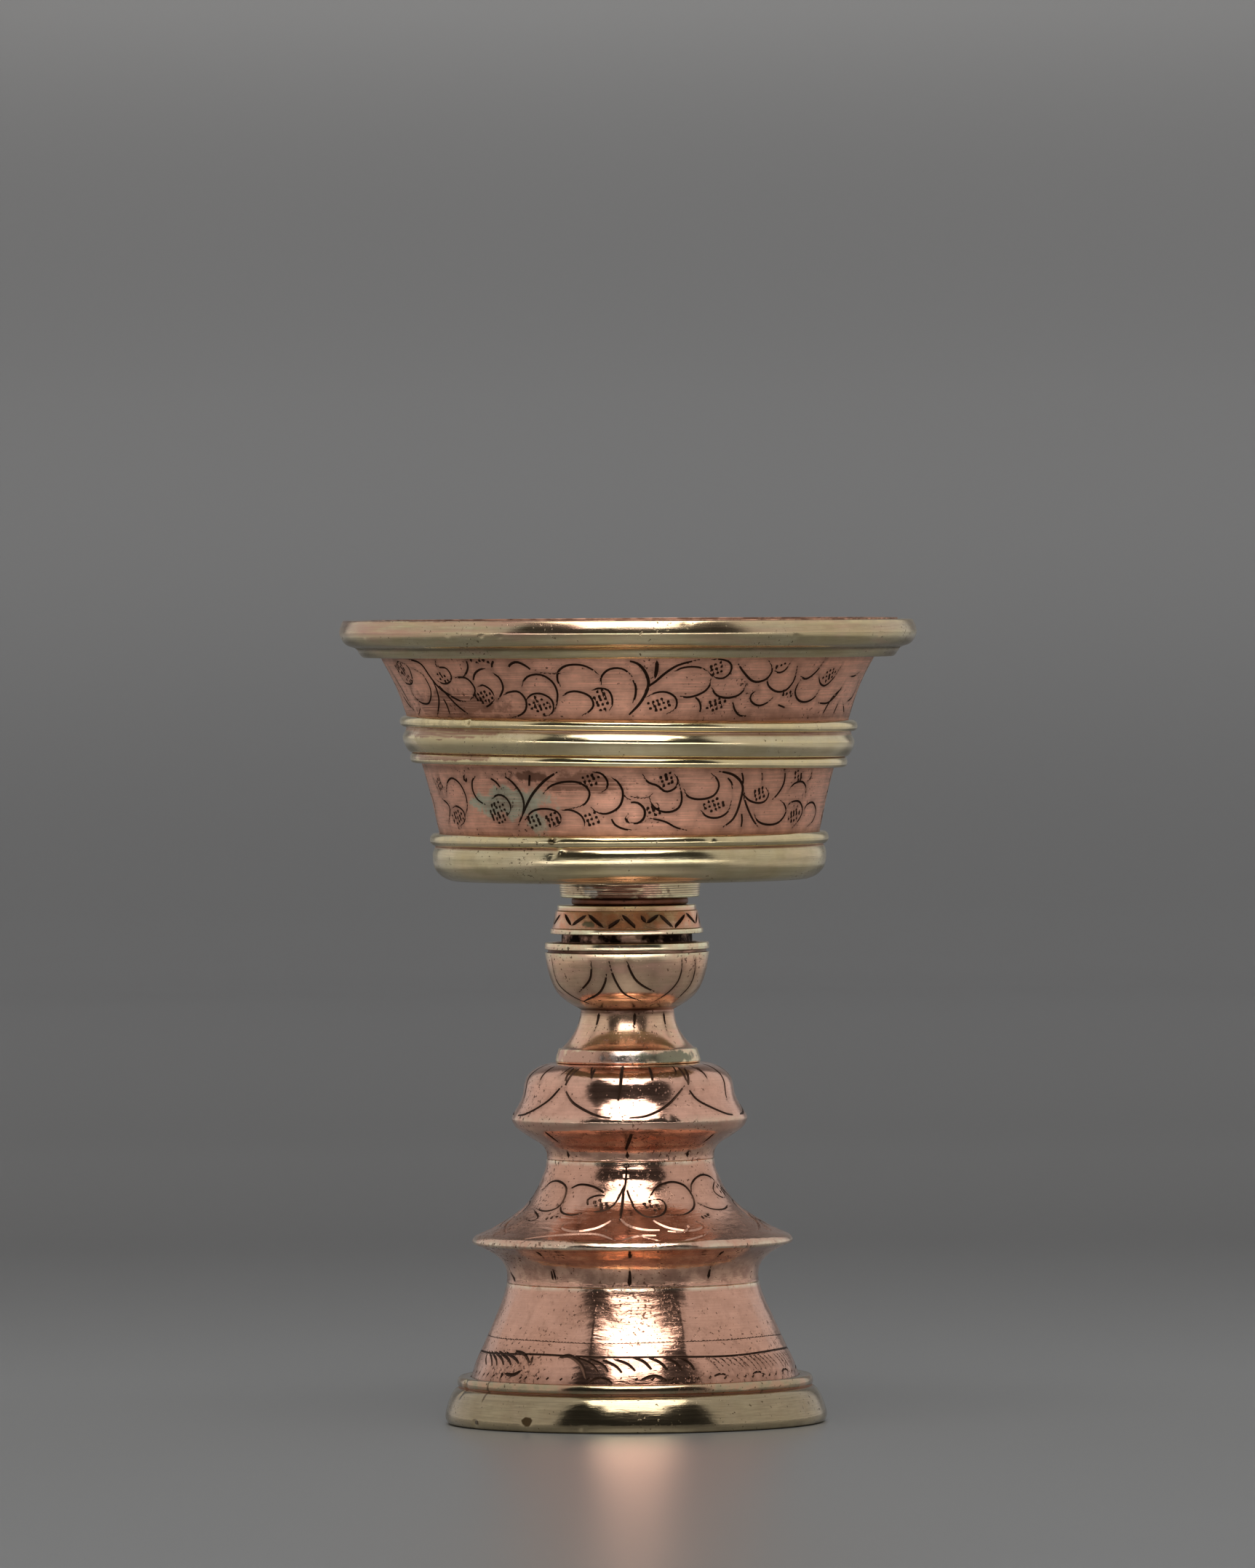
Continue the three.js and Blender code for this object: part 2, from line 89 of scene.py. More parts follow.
def smooth(points, spacing=0.3):
    """A curve through the points, as a dense line of points."""
    p = np.array(points, float)
    if len(p) == 2:
        return p
    gap = np.linalg.norm(np.diff(p, axis=0), axis=1)
    slope = np.empty_like(p)
    slope[1:-1] = (p[2:] - p[:-2]) / (gap[1:] + gap[:-1])[:, None]
    slope[0] = (p[1] - p[0]) / gap[0]
    slope[-1] = (p[-1] - p[-2]) / gap[-1]
    out = []
    for i, d in enumerate(gap):
        steps = max(2, int(math.ceil(d / spacing)))
        t = (np.arange(steps) / steps)[:, None]
        out.append((2 * t**3 - 3 * t**2 + 1) * p[i] + (t**3 - 2 * t**2 + t) * d * slope[i]
                   + (3 * t**2 - 2 * t**3) * p[i + 1] + (t**3 - t**2) * d * slope[i + 1])
    return np.vstack([*out, p[-1:]])


def lengths(line):
    return np.concatenate([[0], np.cumsum(np.linalg.norm(np.diff(line, axis=0), axis=1))])


def stretch(line, start, end):
    """The part of a line between two distances along it."""
    s = lengths(line)
    inside = line[(s > start + 1e-6) & (s < end - 1e-6)]
    ends = [[np.interp(at, s, line[:, k]) for k in (0, 1)] for at in (start, end)]
    return np.vstack([[ends[0]], inside, [ends[1]]])


def resample(line, spacing):
    s = lengths(line)
    t = np.linspace(0, s[-1], max(2, int(round(s[-1] / spacing)) + 1))
    return np.column_stack([np.interp(t, s, line[:, k]) for k in (0, 1)])


def outline(runs, soft, closed):
    """Joins runs, each smooth in itself, with a small rounding at each corner between them.

    A run after the first starts where the one before it ends. A run is a list of points,
    or (list of points, rounding at its end)."""
    lines, rounds, last = [], [], None
    for run in runs:
        points, rounding = run if isinstance(run, tuple) else (run, soft)
        points = [tuple(q) for q in points]
        lines.append(smooth(([last] if last else []) + points))
        rounds.append(rounding)
        last = points[-1]
    if closed and np.linalg.norm(lines[-1][-1] - lines[0][0]) > 1e-6:
        lines.append(np.array([lines[-1][-1], lines[0][0]]))
        rounds.append(soft)
    n = len(lines)
    long = [lengths(line)[-1] for line in lines]
    cut = [min(rounds[i], 0.45 * long[i], 0.45 * long[(i + 1) % n]) for i in range(n)]
    if not closed:
        cut[-1] = 0.0
    out = []
    for i, line in enumerate(lines):
        out.append(stretch(line, cut[i - 1], long[i] - cut[i]))
        if cut[i] > 0:
            a, b = out[-1][-1], line[-1]
            c = stretch(lines[(i + 1) % n], cut[i], long[(i + 1) % n])[0]
            t = np.array([0.25, 0.5, 0.75])[:, None]
            out.append((1 - t) ** 2 * a + 2 * t * (1 - t) * b + t**2 * c)
    return thinned(np.vstack(out), closed)


def thinned(line, closed, turn=0.09, step=1.3, least=0.01):
    """Leaves out points where the line is nearly straight."""
    ways = np.arctan2(*np.diff(line, axis=0).T[::-1])
    kept, heading = [line[0]], ways[0]
    for point, way in zip(line[1:-1], ways[1:]):
        gap = np.linalg.norm(point - kept[-1])
        bent = abs((way - heading + math.pi) % TURN - math.pi)
        if (bent > turn or gap > step) and gap > least:
            kept.append(point)
            heading = way
    if not closed or np.linalg.norm(line[-1] - kept[0]) > least:
        kept.append(line[-1])
    return np.array(kept)


class Section:
    """A piece's outline with what follows from it at each distance s along it."""

    def __init__(self, runs, soft=0.12, closed=True):
        points = outline(runs, soft, closed)
        self.points = np.vstack([points, points[:1]]) if closed else points
        self.s = lengths(self.points)
        d = np.diff(self.points, axis=0)
        d /= np.linalg.norm(d, axis=1)[:, None]
        first, last = (d[-1], d[0]) if closed else (d[0], d[-1])
        before = np.vstack([[first], d])
        after = np.vstack([d, [last]])
        mean = before + after
        self.along = mean / np.linalg.norm(mean, axis=1)[:, None]
        # A section that runs upwards on its outer side has its metal on the left
        r, z = self.points.T
        self.side = np.sign(np.sum(r * np.roll(z, -1) - np.roll(r, -1) * z))
        bend = self.side * (before[:, 0] * after[:, 1] - before[:, 1] * after[:, 0])
        near = np.exp(-((self.s[:, None] - self.s) / BEND_REACH) ** 2)
        self.bend = np.clip(near @ bend, -1, 1)

    def at(self, s):
        """Radius, height and outward normal at distances s."""
        r, z = (np.interp(s, self.s, self.points[:, k]) for k in (0, 1))
        tr, tz = (np.interp(s, self.s, self.along[:, k]) for k in (0, 1))
        long = np.hypot(tr, tz)
        return r, z, self.side * tz / long, -self.side * tr / long

    def near(self, r, z):
        """The distance along the outline of its point nearest to (r, z)."""
        fine = np.linspace(0, self.s[-1], 8000)
        fr, fz = (np.interp(fine, self.s, self.points[:, k]) for k in (0, 1))
        return float(fine[np.argmin((fr - r) ** 2 + (fz - z) ** 2)])


# Strokes of the graver. Each is a row of points (angle, s) with a width in millimetres.

class Zone:
    """A band of a section's outer face that is engraved.

    Angles and distances along the outline map to a plane in which small shapes keep their form."""

    def __init__(self, section, start, end):
        self.low, self.high = sorted((section.near(*start), section.near(*end)))
        self.s = np.linspace(self.low, self.high, 600)
        self.r, self.z, _, _ = section.at(self.s)
        self.mean = float(np.mean(self.r))
        step = np.diff(self.s) / ((self.r[1:] + self.r[:-1]) / 2)
        self.v = np.concatenate([[0], np.cumsum(step)]) * self.mean
        self.strokes = []

    def shrink(self, v):
        """Plane units in a millimetre of the surface."""
        return self.mean / np.interp(v, self.v, self.r)

    def radius(self, s):
        return float(np.interp(s, self.s, self.r))

    def at_height(self, z):
        return float(self.s[int(np.argmin(np.abs(self.z - z)))])

    def add(self, angles, s, width, depth=0.13, shape="stroke"):
        self.strokes.append((np.asarray(angles, float), np.asarray(s, float), width, depth, shape))

    def cut(self, angles, heights, *form):
        """A stroke through points given by angle and height."""
        self.add(angles, [self.at_height(h) for h in heights], *form)

    def from_photo(self, x, y, axis_x):
        """The angle and s of a point of this zone that the photograph shows at (x, y)."""
        across = (x - axis_x) / PHOTO_SCALE
        angle = np.arcsin(np.clip(across / self.r, -0.985, 0.985))
        drop = self.r * np.cos(angle) * (EYE_HEIGHT - self.z) / EYE_DISTANCE
        seen_y = PHOTO_FLOOR_Y - PHOTO_SCALE * (self.z - drop)
        i = int(np.argmin(np.abs(seen_y - y) + np.where(np.abs(across) > self.r, 20.0, 0.0)))
        return float(angle[i]), float(self.s[i])


def taper(t, shape):
    """A stroke's share of its full width and depth, from its start at 0 to its end at 1."""
    if shape == "ring":
        return np.ones_like(t)
    if shape == "punch":
        return np.clip(10 * t * (1 - t), 0, 1)
    if shape == "dart":
        return np.clip(t / 0.82, 0, 1) ** 0.8 * np.clip((1 - t) / 0.12, 0, 1) ** 0.5
    return np.sin(math.pi * np.clip(t, 0, 1) ** 0.85) ** 0.30


def engraved_mesh(zone, step):
    """Triangles over the zone with every stroke's middle and edges as lines of the mesh."""
    turn = TURN * zone.mean
    low, high = zone.v[0], zone.v[-1]
    points, edges, samples = [], [], []

    def chain(rows):
        start = len(points)
        points.extend(map(tuple, rows))
        edges.extend((start + i, start + i + 1) for i in range(len(rows) - 1))

    for angles, s, width, depth, shape in zone.strokes:
        inked = FINE_INK if shape == "fine" else 1.0
        line = np.column_stack([angles * zone.mean, np.interp(s, zone.s, zone.v)])
        if len(line) > 2:
            line = smooth(line, 0.4)
        line = resample(line, lengths(line)[-1] / 5 if shape == "punch" else STROKE_STEP)
        keep = (line[:, 1] > low + BORDER_STRIP) & (line[:, 1] < high - BORDER_STRIP)
        full = np.linspace(0, 1, len(line))
        for run in np.split(np.arange(len(line)), np.where(np.diff(keep.astype(int)) != 0)[0] + 1):
            if not keep[run[0]] or len(run) < 2:
                continue
            mid = line[run]
            d = np.gradient(mid, axis=0)
            d /= np.maximum(np.linalg.norm(d, axis=1), 1e-9)[:, None]
            form = taper(full[run], shape)
            if run[0] == 0 and shape != "ring":
                form[0] = 0.0
            half = form * width / 2 * zone.shrink(mid[:, 1])
            side = np.column_stack([-d[:, 1], d[:, 0]]) * half[:, None]
            borders = [mid + side, mid - side]
            for border in borders:
                border[:, 1] = np.clip(border[:, 1], low + BORDER_GAP, high - BORDER_GAP)
            wide = (half > THINNEST)[:, None]
            for shift in (-turn, 0.0, turn):
                move = np.array([shift, 0.0])
                there = mid[:, 0] + shift
                if there.max() < -turn / 2 - 1 or there.min() > turn / 2 + 1:
                    continue
                chain(mid + move)
                for border in borders:
                    chain(np.where(wide, border, mid) + move)
                # A sample is (across, up, half width, depth, dirt), at each point and halfway between two
                rows = np.empty((2 * len(mid) - 1, 5))
                rows[::2] = np.column_stack([mid + move, half, depth * form, np.full(len(mid), inked)])
                rows[1::2] = (rows[:-2:2] + rows[2::2]) / 2
                samples.extend(rows.tolist())

    tree = kdtree.KDTree(len(samples))
    for i, sample in enumerate(samples):
        tree.insert((*sample[:2], 0), i)
    tree.balance()
    widest = max(sample[2] for sample in samples)

    def nearest(u, v):
        _, j, dist = tree.find((u, v, 0))
        return samples[j], dist

    across = np.linspace(-turn / 2, turn / 2, SEGMENTS + 1)
    count = max(2, int(round((high - low) / (step * 0.87))))
    levels = np.linspace(low, high, count + 1)
    for v in (low, high):
        chain([(u, v) for u in across])
    for u in (-turn / 2, turn / 2):
        chain([(u, v) for v in levels])
    for k, v in enumerate(levels[1:-1]):
        n = max(24, int(round(turn / (step * float(zone.shrink(v))))))
        for i in range(n):
            u = -turn / 2 + (i + 0.25 + 0.5 * (k % 2)) / n * turn
            if abs(abs(u) - turn / 2) < 0.2:
                continue
            sample, dist = nearest(u, v)
            if dist >= sample[2] + CLEAR_STRIP:
                points.append((u, v))

    verts, _, faces, _, _, _ = delaunay_2d_cdt([Vector(p) for p in points], edges, [], 0, 1e-5, True)
    uv = np.array([tuple(v) for v in verts])
    tri = np.array([f for f in faces if len(f) == 3])
    # The border's points go back exactly to the grid they share with the next rows and the seam
    cell = turn / SEGMENTS
    for level in (low, high):
        near = np.abs(uv[:, 1] - level) < ON_BORDER
        uv[near, 1] = level
        uv[near, 0] = np.round(uv[near, 0] / cell) * cell
    sides = [np.where(np.abs(uv[:, 0] - u) < ON_BORDER)[0] for u in (-turn / 2, turn / 2)]
    uv[sides[0], 0], uv[sides[1], 0] = -turn / 2, turn / 2
    for i in sides[1]:
        j = sides[0][np.argmin(np.abs(uv[sides[0], 1] - uv[i, 1]))]
        if abs(uv[j, 1] - uv[i, 1]) < 0.003:
            uv[i, 1] = uv[j, 1]
    centre = uv[tri].mean(axis=1)
    inside = (np.abs(centre[:, 0]) < turn / 2) & (centre[:, 1] > low) & (centre[:, 1] < high)
    a, b, c = (uv[tri[:, k]] for k in range(3))
    size = np.abs((b[:, 0] - a[:, 0]) * (c[:, 1] - a[:, 1]) - (b[:, 1] - a[:, 1]) * (c[:, 0] - a[:, 0]))
    inside &= size > 1e-7
    tri, centre = tri[inside], centre[inside]

    def depth_at(u, v):
        best = 0.0
        for _, j, dist in tree.find_range((u, v, 0), widest):
            half, deep = samples[j][2:4]
            if dist < half:
                best = max(best, deep * (1 - dist / half))
        return best

    deep = np.zeros(len(uv))
    grime = np.zeros(len(uv))
    for i in np.unique(tri):
        u, v = uv[i]
        deep[i] = depth_at(u, v) * min(1.0, (v - low) / BORDER_FADE, (high - v) / BORDER_FADE)
        sample, dist = nearest(u, v)
        grime[i] = sample[4] * math.exp(-max(0.0, dist - sample[2]) / DIRT_REACH)
    cut = np.array([nearest(u, v)[0][4] if depth_at(u, v) > SHALLOWEST else 0.0 for u, v in centre])
    return uv[:, 0] / zone.mean, np.interp(uv[:, 1], zone.v, zone.s), tri, deep, grime, cut


# Moves: how far a point at (angle, r, z) is moved outwards and upwards

def outwards(amount):
    return amount, np.zeros_like(amount)


def calm(angle, r, z):
    return outwards(np.zeros_like(angle))


def hand_made(seed, amount, waves=(2, 3, 5, 8, 13), pitch=9.0):
    """Low waves round and up a piece, as a hand-held file and hammer leave them."""
    rng = random.Random(seed)
    parts = [(n, rng.uniform(0, 6.28), rng.uniform(-1, 1) / pitch * 6.28, amount / (1 + 0.35 * i))
             for i, n in enumerate(waves)]

    def move(angle, r, z):
        return outwards(sum(a * np.sin(n * angle + phase + k * z) for n, phase, k, a in parts) / 2)
    return move


def both(*moves):
    def move(angle, r, z):
        made = [m(angle, r, z) for m in moves]
        return sum(a for a, _ in made), sum(b for _, b in made)
    return move


def tilt(slope):
    """A band that sits a little higher on one side."""
    def move(angle, r, z):
        return np.zeros_like(angle), slope * r * np.cos(angle - math.pi / 2)
    return move


def lean(angle, r, z):
    """The foot and stem aren't quite straight under the bowl: each height sits a little to one side."""
    aside = np.interp(z, (0, 6, 18, 30, 42, 50), (0.38, 0.24, 0.08, -0.10, -0.28, -0.42))
    return outwards(aside * np.sin(angle))


def dents(*places):
    """Shallow dents or nicks, each (degrees, height, wide, high, deep); a negative depth raises a lump."""
    def move(angle, r, z):
        total = 0.0
        for at_angle, at_z, wide, high, deep in places:
            apart = (angle - math.radians(at_angle) + math.pi) % TURN - math.pi
            total = total - deep * np.exp(-((apart * r / wide) ** 2 + ((z - at_z) / high) ** 2))
        return outwards(total)
    return move


# Meshes

def to_xyz(angle, r, z):
    return np.column_stack([r * np.sin(angle), -r * np.cos(angle), z])


def on_surface(section, move, angle, s):
    """Positions and outward normals at angles and distances along the outline."""
    r, z, nr, nz = section.at(s)
    dr, dz = move(angle, r, z)
    p = to_xyz(angle, r + np.where(r > 0.01, dr, 0.0), z + dz)
    # The waves lean the normal by how fast they rise round the axis and up the piece
    small = 0.02
    out = dr * nr + dz * nz
    dr_a, dz_a = move(angle + small / np.maximum(r, 0.5), r, z)
    dr_s, dz_s = move(angle, r - nz * small, z + nr * small)
    rise_a = (dr_a * nr + dz_a * nz - out) / small
    rise_s = (dr_s * nr + dz_s * nz - out) / small
    round_way = np.column_stack([np.cos(angle), np.sin(angle), np.zeros_like(angle)])
    normal = to_xyz(angle, nr, nz) - rise_a[:, None] * round_way - rise_s[:, None] * to_xyz(angle, -nz, nr)
    normal /= np.linalg.norm(normal, axis=1)[:, None]
    return p, normal


def turned(name, node, body, material, section, zones=(), move=calm, step=1.1,
           segments=SEGMENTS, ridge=None, dense=None, inner=None):
    """A piece turned about the axis, with its engraved zones worked in. It replaces the solid called node.

    ridge(angle, r, z) gives a further radius, for a screw or a nut's flats, and dense = (start, end, row)
    the stretch of the outline that gets close rows for it. inner = (start, end) marks a stretch of the
    outline that is inside the piece and stays dull."""
    ends = [v for zone in zones for v in (zone.low, zone.high)]
    stops = list(section.s)
    if dense:
        dense_low, dense_high = sorted(dense[:2])
        stops += list(np.arange(dense_low, dense_high, dense[2]))
    stops = [s for s in stops if all(abs(s - v) > 0.02 for v in ends)] + ends
    stops = sorted(s for s in stops if not any(z.low + 1e-9 < s < z.high - 1e-9 for z in zones))
    stops = [s for i, s in enumerate(stops) if i == 0 or s - stops[i - 1] > 1e-6]
    blocks = [[]]
    for s in stops:
        blocks[-1].append(s)
        if any(abs(s - zone.low) < 1e-9 for zone in zones):
            blocks.append([])

    # Each part is angles, distances s, faces, depths, grime and the faces' share of ink
    parts = []
    columns = segments + 1
    around = np.linspace(-math.pi, math.pi, columns)
    for block in blocks:
        rows = len(block)
        if rows < 2:
            continue
        i = (np.arange(rows - 1)[:, None] * columns + np.arange(segments)[None, :]).reshape(-1)
        quads = np.column_stack([i, i + 1, i + columns + 1, i + columns])
        flat = np.zeros(rows * columns)
        parts.append((np.tile(around, rows), np.repeat(block, columns), quads, flat, flat,
                      np.zeros(len(quads))))
    for zone in zones:
        angle, s, tri, *marks = engraved_mesh(zone, step)
        parts.append((angle, s, np.column_stack([tri, np.full(len(tri), -1)]), *marks))
    starts = np.cumsum([0] + [len(part[0]) for part in parts[:-1]])
    angle, s, deep, grime, cut = (np.concatenate([part[k] for part in parts]) for k in (0, 1, 3, 4, 5))
    faces = np.vstack([np.where(part[2] >= 0, part[2] + start, -1) for part, start in zip(parts, starts)])

    p, normal = on_surface(section, move, angle, s)
    r, z, _, _ = section.at(s)
    if ridge is not None:
        p += to_xyz(angle, ridge(angle, r, z), np.zeros_like(r))
    p -= normal * deep[:, None]

    key = np.floor(p / WELD + 0.37).astype(np.int64)
    _, first, welded = np.unique(key, axis=0, return_index=True, return_inverse=True)
    welded = welded.reshape(-1)
    made, sources, kept = [], [], []
    for k, row in enumerate(faces.tolist()):
        corners = [v for v in row if v >= 0]
        ring = [welded[v] for v in corners]
        use = [i for i in range(len(ring)) if ring[i] != ring[i - 1]]
        if len(use) >= 3 and len({ring[i] for i in use}) == len(use):
            made.append([int(ring[i]) for i in use])
            sources.append([corners[i] for i in use])
            kept.append(k)
    points = p[first]

    # Each face is turned so that its corners run round the outward normal
    corner = points[np.array([ring[:3] for ring in made])]
    around_face = np.cross(corner[:, 1] - corner[:, 0], corner[:, 2] - corner[:, 0])
    outward = normal[np.array([row[0] for row in sources])]
    wrong = np.sum(around_face * outward, axis=1) < 0
    made = [ring[::-1] if flip else ring for ring, flip in zip(made, wrong)]
    sources = [row[::-1] if flip else row for row, flip in zip(sources, wrong)]
    loop_source = np.array([v for row in sources for v in row])
    face_of_loop = np.repeat(np.arange(len(made)), [len(ring) for ring in made])

    mesh = bpy.data.meshes.new(name)
    mesh.from_pydata((points * MM).tolist(), [], made)
    mesh.polygons.foreach_set("use_smooth", np.ones(len(made), bool))
    mesh.update()

    def normals_of(items):
        values = np.empty(len(items) * 3)
        items.foreach_get("normal", values)
        return values.reshape(-1, 3)

    flat_normal = normals_of(mesh.polygons)[face_of_loop]
    is_cut = cut[kept]
    loop_normals = normal[loop_source].copy()
    mask = is_cut[face_of_loop] > 0
    loop_normals[mask] = FACET_SHARE * flat_normal[mask] + (1 - FACET_SHARE) * loop_normals[mask]
    if dense:
        by_shape = (s[loop_source] > dense_low - 0.2) & (s[loop_source] < dense_high + 0.2)
        round_normal = normals_of(mesh.vertices)[welded[loop_source]]
        sharp = np.sum(round_normal * flat_normal, axis=1) < SHARP
        shaped = np.where(sharp[:, None], flat_normal, round_normal)
        loop_normals = np.where(by_shape[:, None], shaped, loop_normals)
    loop_normals /= np.linalg.norm(loop_normals, axis=1)[:, None]

    layer = mesh.uv_layers.new(name="wrap")
    coords = np.column_stack([angle[loop_source] * np.maximum(r[loop_source], 1.0), s[loop_source]])
    layer.data.foreach_set("uv", (coords / 10).astype(np.float32).reshape(-1))
    values = {"grime": grime[first], "bend": np.interp(s[first], section.s, section.bend), "cut": is_cut}
    if inner is not None:
        values["inside"] = (s[first] > min(inner)) & (s[first] < max(inner))
    for label, numbers in values.items():
        attribute = mesh.attributes.new(label, "FLOAT", "FACE" if label == "cut" else "POINT")
        attribute.data.foreach_set("value", numbers.astype(np.float32))
    mesh.normals_split_custom_set(loop_normals.tolist())
    mesh.materials.append(material)
    piece = put_in_scene(name, mesh)
    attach(piece, body)
    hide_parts(node)


def put_in_scene(name, data, location=(0, 0, 0), rotation=Euler()):
    thing = bpy.data.objects.new(name, data)
    thing.location = location
    thing.rotation_euler = rotation
    bpy.context.scene.collection.objects.link(thing)
    return thing


# Materials

def shade(colour, factor):
    return tuple(min(1.0, c * factor) for c in colour[:3]) + (1,)


class Wire:
    """A node's output, with the signs of arithmetic."""

    def __init__(self, nodes, socket):
        self.nodes = nodes
        self.socket = socket

    def __add__(self, other):
        return self.nodes.math("ADD", self, other)

    def __sub__(self, other):
        return self.nodes.math("SUBTRACT", self, other)

    def __mul__(self, other):
        return self.nodes.math("MULTIPLY", self, other)

    def __truediv__(self, other):
        return self.nodes.math("DIVIDE", self, other)


class Nodes:
    """Short ways to add nodes to a material or the world."""

    def __init__(self, owner):
        owner.use_nodes = True
        self.tree = owner.node_tree
        self.tree.nodes.clear()

    def add(self, kind, inputs, **settings):
        """A node with its settings and inputs. An input is a value or a wire."""
        node = self.tree.nodes.new("ShaderNode" + kind)
        for name, value in settings.items():
            setattr(node, name, value)
        for name, value in inputs.items():
            if isinstance(value, Wire):
                self.tree.links.new(value.socket, node.inputs[name])
            else:
                node.inputs[name].default_value = value
        return node

    def out(self, kind, output, inputs={}, **settings):
        return Wire(self, self.add(kind, inputs, **settings).outputs[output])

    def noise(self, vector, scale, detail=3.0, rough=0.55, distortion=0.0):
        return self.out("TexNoise", "Fac", {"Vector": vector, "Scale": scale, "Detail": detail,
                                            "Roughness": rough, "Distortion": distortion})

    def scaled(self, vector, x, y, turn=0.0):
        return self.out("Mapping", "Vector", {"Vector": vector, "Scale": (x, y, 1), "Rotation": (0, 0, turn)})

    def math(self, kind, *values, clamp=False):
        return self.out("Math", 0, dict(enumerate(values)), operation=kind, use_clamp=clamp)

    def between(self, value, low, high, to_low=0.0, to_high=1.0):
        return self.out("MapRange", "Result", {"Value": value, "From Min": low, "From Max": high,
                                               "To Min": to_low, "To Max": to_high}, clamp=True)

    def mix(self, factor, a, b, mode="MIX"):
        return self.out("Mix", 2, {0: factor, 6: a, 7: b}, data_type="RGBA", blend_type=mode)

    def attribute(self, name):
        return self.out("Attribute", "Fac", attribute_name=name)

    def bump(self, strength, distance, height, **under):
        sockets = {"Strength": strength, "Distance": distance, "Height": height, **under}
        return self.out("Bump", "Normal", sockets)

    def split(self, vector):
        node = self.add("SeparateXYZ", {0: vector})
        return [Wire(self, output) for output in node.outputs]

    def surface(self, kind, output, inputs):
        """The shader or background that the tree ends in."""
        self.add("Output" + output, {"Surface": self.out(kind, 0, inputs)})


def metal(name, colour, other, dirt, rough, lines, pits, patches=0.5, worn=None, brushed=0.0, chatter=0.0,
          filed=0.0, crevice=None, accents=(), dull=()):
    """Old polished metal: colour drifts to other in clouds, dirt lies in corners and cuts.

    lines is how strongly the turning or polishing marks show, pits how many small pits, brushed
    how far the marks draw a reflection out up and down, and chatter how uneven the hand-held
    scraper left the surface. accents are (colour, mask builder) pairs laid over the metal, and
    dull holds mask builders of places that have lost their polish. A mask builder reads the
    place and the clouds from the nodes it is given."""
    material = bpy.data.materials.new(name)
    n = Nodes(material)
    n.here = n.out("TexCoord", "Object")
    n.wrap = n.out("UVMap", "UV", uv_map="wrap")
    n.clouds = n.noise(n.here, 95.0, 4.0, 0.6, 0.3)
    n.fine_clouds = n.noise(n.here, 420.0, 4.0, 0.65)
    turning = n.noise(n.scaled(n.wrap, 0.35, 26.0), 1.0, 5.0, 0.7)
    brushing = n.noise(n.scaled(n.wrap, 2.2, 60.0), 1.0, 3.0, 0.6, 0.4)
    slant = n.noise(n.scaled(n.wrap, 3.0, 46.0, 0.5), 1.0, 2.0, 0.6)

    tone = n.mix(n.between(n.clouds, 0.5 - 0.25 * patches, 0.5 + 0.25 * patches), colour, other)
    tone = n.mix(n.between(n.fine_clouds, 0.35, 0.75, 0.0, 0.30), tone, shade(dirt, 1.6))
    streak = n.between(turning * brushing, 0.14, 0.38, 1.0 - 0.45 * lines, 1.0 + 0.2 * lines)
    tone = n.mix(1.0, tone, streak, "MULTIPLY")
    if filed:
        tone = n.mix(1.0, tone, n.between(slant, 0.40, 0.56, 1.0 - 0.5 * filed, 1.0), "MULTIPLY")

    bend = n.attribute("bend")
    rubbed = n.between(bend, 0.15, 0.9) * n.between(n.fine_clouds, 0.3, 0.6)
    tone = n.mix(rubbed, tone, worn or shade(colour, 1.25))
    dusty = n.between(bend, -0.12, -0.8) * n.between(n.clouds, 0.2, 0.65, 0.55, 1.0)
    tone = n.mix(dusty, tone, crevice or shade(dirt, 0.7))
    for accent_colour, mask in accents:
        tone = n.mix(mask(n), tone, accent_colour)

    speck_noise = n.noise(n.here, 2300.0, 2.0, 0.5) * n.between(n.clouds, 0.35, 0.7, 0.8, 1.08)
    specks = n.between(speck_noise, 0.72 - 0.08 * pits, 0.78 - 0.08 * pits)
    tone = n.mix(specks * 0.75, tone, shade(dirt, 0.45))
    grime, cut, inside = (n.attribute(label) for label in ("grime", "cut", "inside"))
    tone = n.mix(grime * n.between(n.clouds, 0.3, 0.7, 0.16, 0.42), tone, shade(dirt, 0.8))
    tone = n.mix(cut * 0.94, tone, INK)
    tone = n.mix(inside * 0.6, tone, shade(dirt, 1.1))

    rough_now = n.between(turning * 0.5 + n.clouds * 0.5, 0.3, 0.7, rough - 0.05, rough + 0.09)
    for mask in dull:
        rough_now = rough_now + mask(n) * 0.4
    rough_now = rough_now + specks * 0.3 + dusty * 0.25 + cut * 0.4
    rough_now = n.math("ADD", rough_now, inside * 0.25, clamp=True)

    marks = turning * (0.6 * lines) + brushing * (0.5 * lines) + slant * (0.12 * lines + 0.9 * filed)
    marks = marks + n.fine_clouds * 0.10 - specks * 0.5
    under = {}
    if chatter:
        uneven = n.noise(n.scaled(n.wrap, 3.2, 11.0), 1.0, 3.0, 0.55, 0.3)
        under["Normal"] = n.bump(1.0, chatter * MM, uneven)
    inputs = {"Metallic": 1.0, "Base Color": tone, "Roughness": rough_now,
              "Normal": n.bump(0.35, 0.06 * MM, marks, **under)}
    if brushed:
        inputs["Tangent"] = n.out("Tangent", 0, direction_type="UV_MAP", uv_map="wrap")
        inputs.update({"Anisotropic": brushed, "Anisotropic Rotation": 0.25})
    n.surface("BsdfPrincipled", "Material", inputs)
    return material


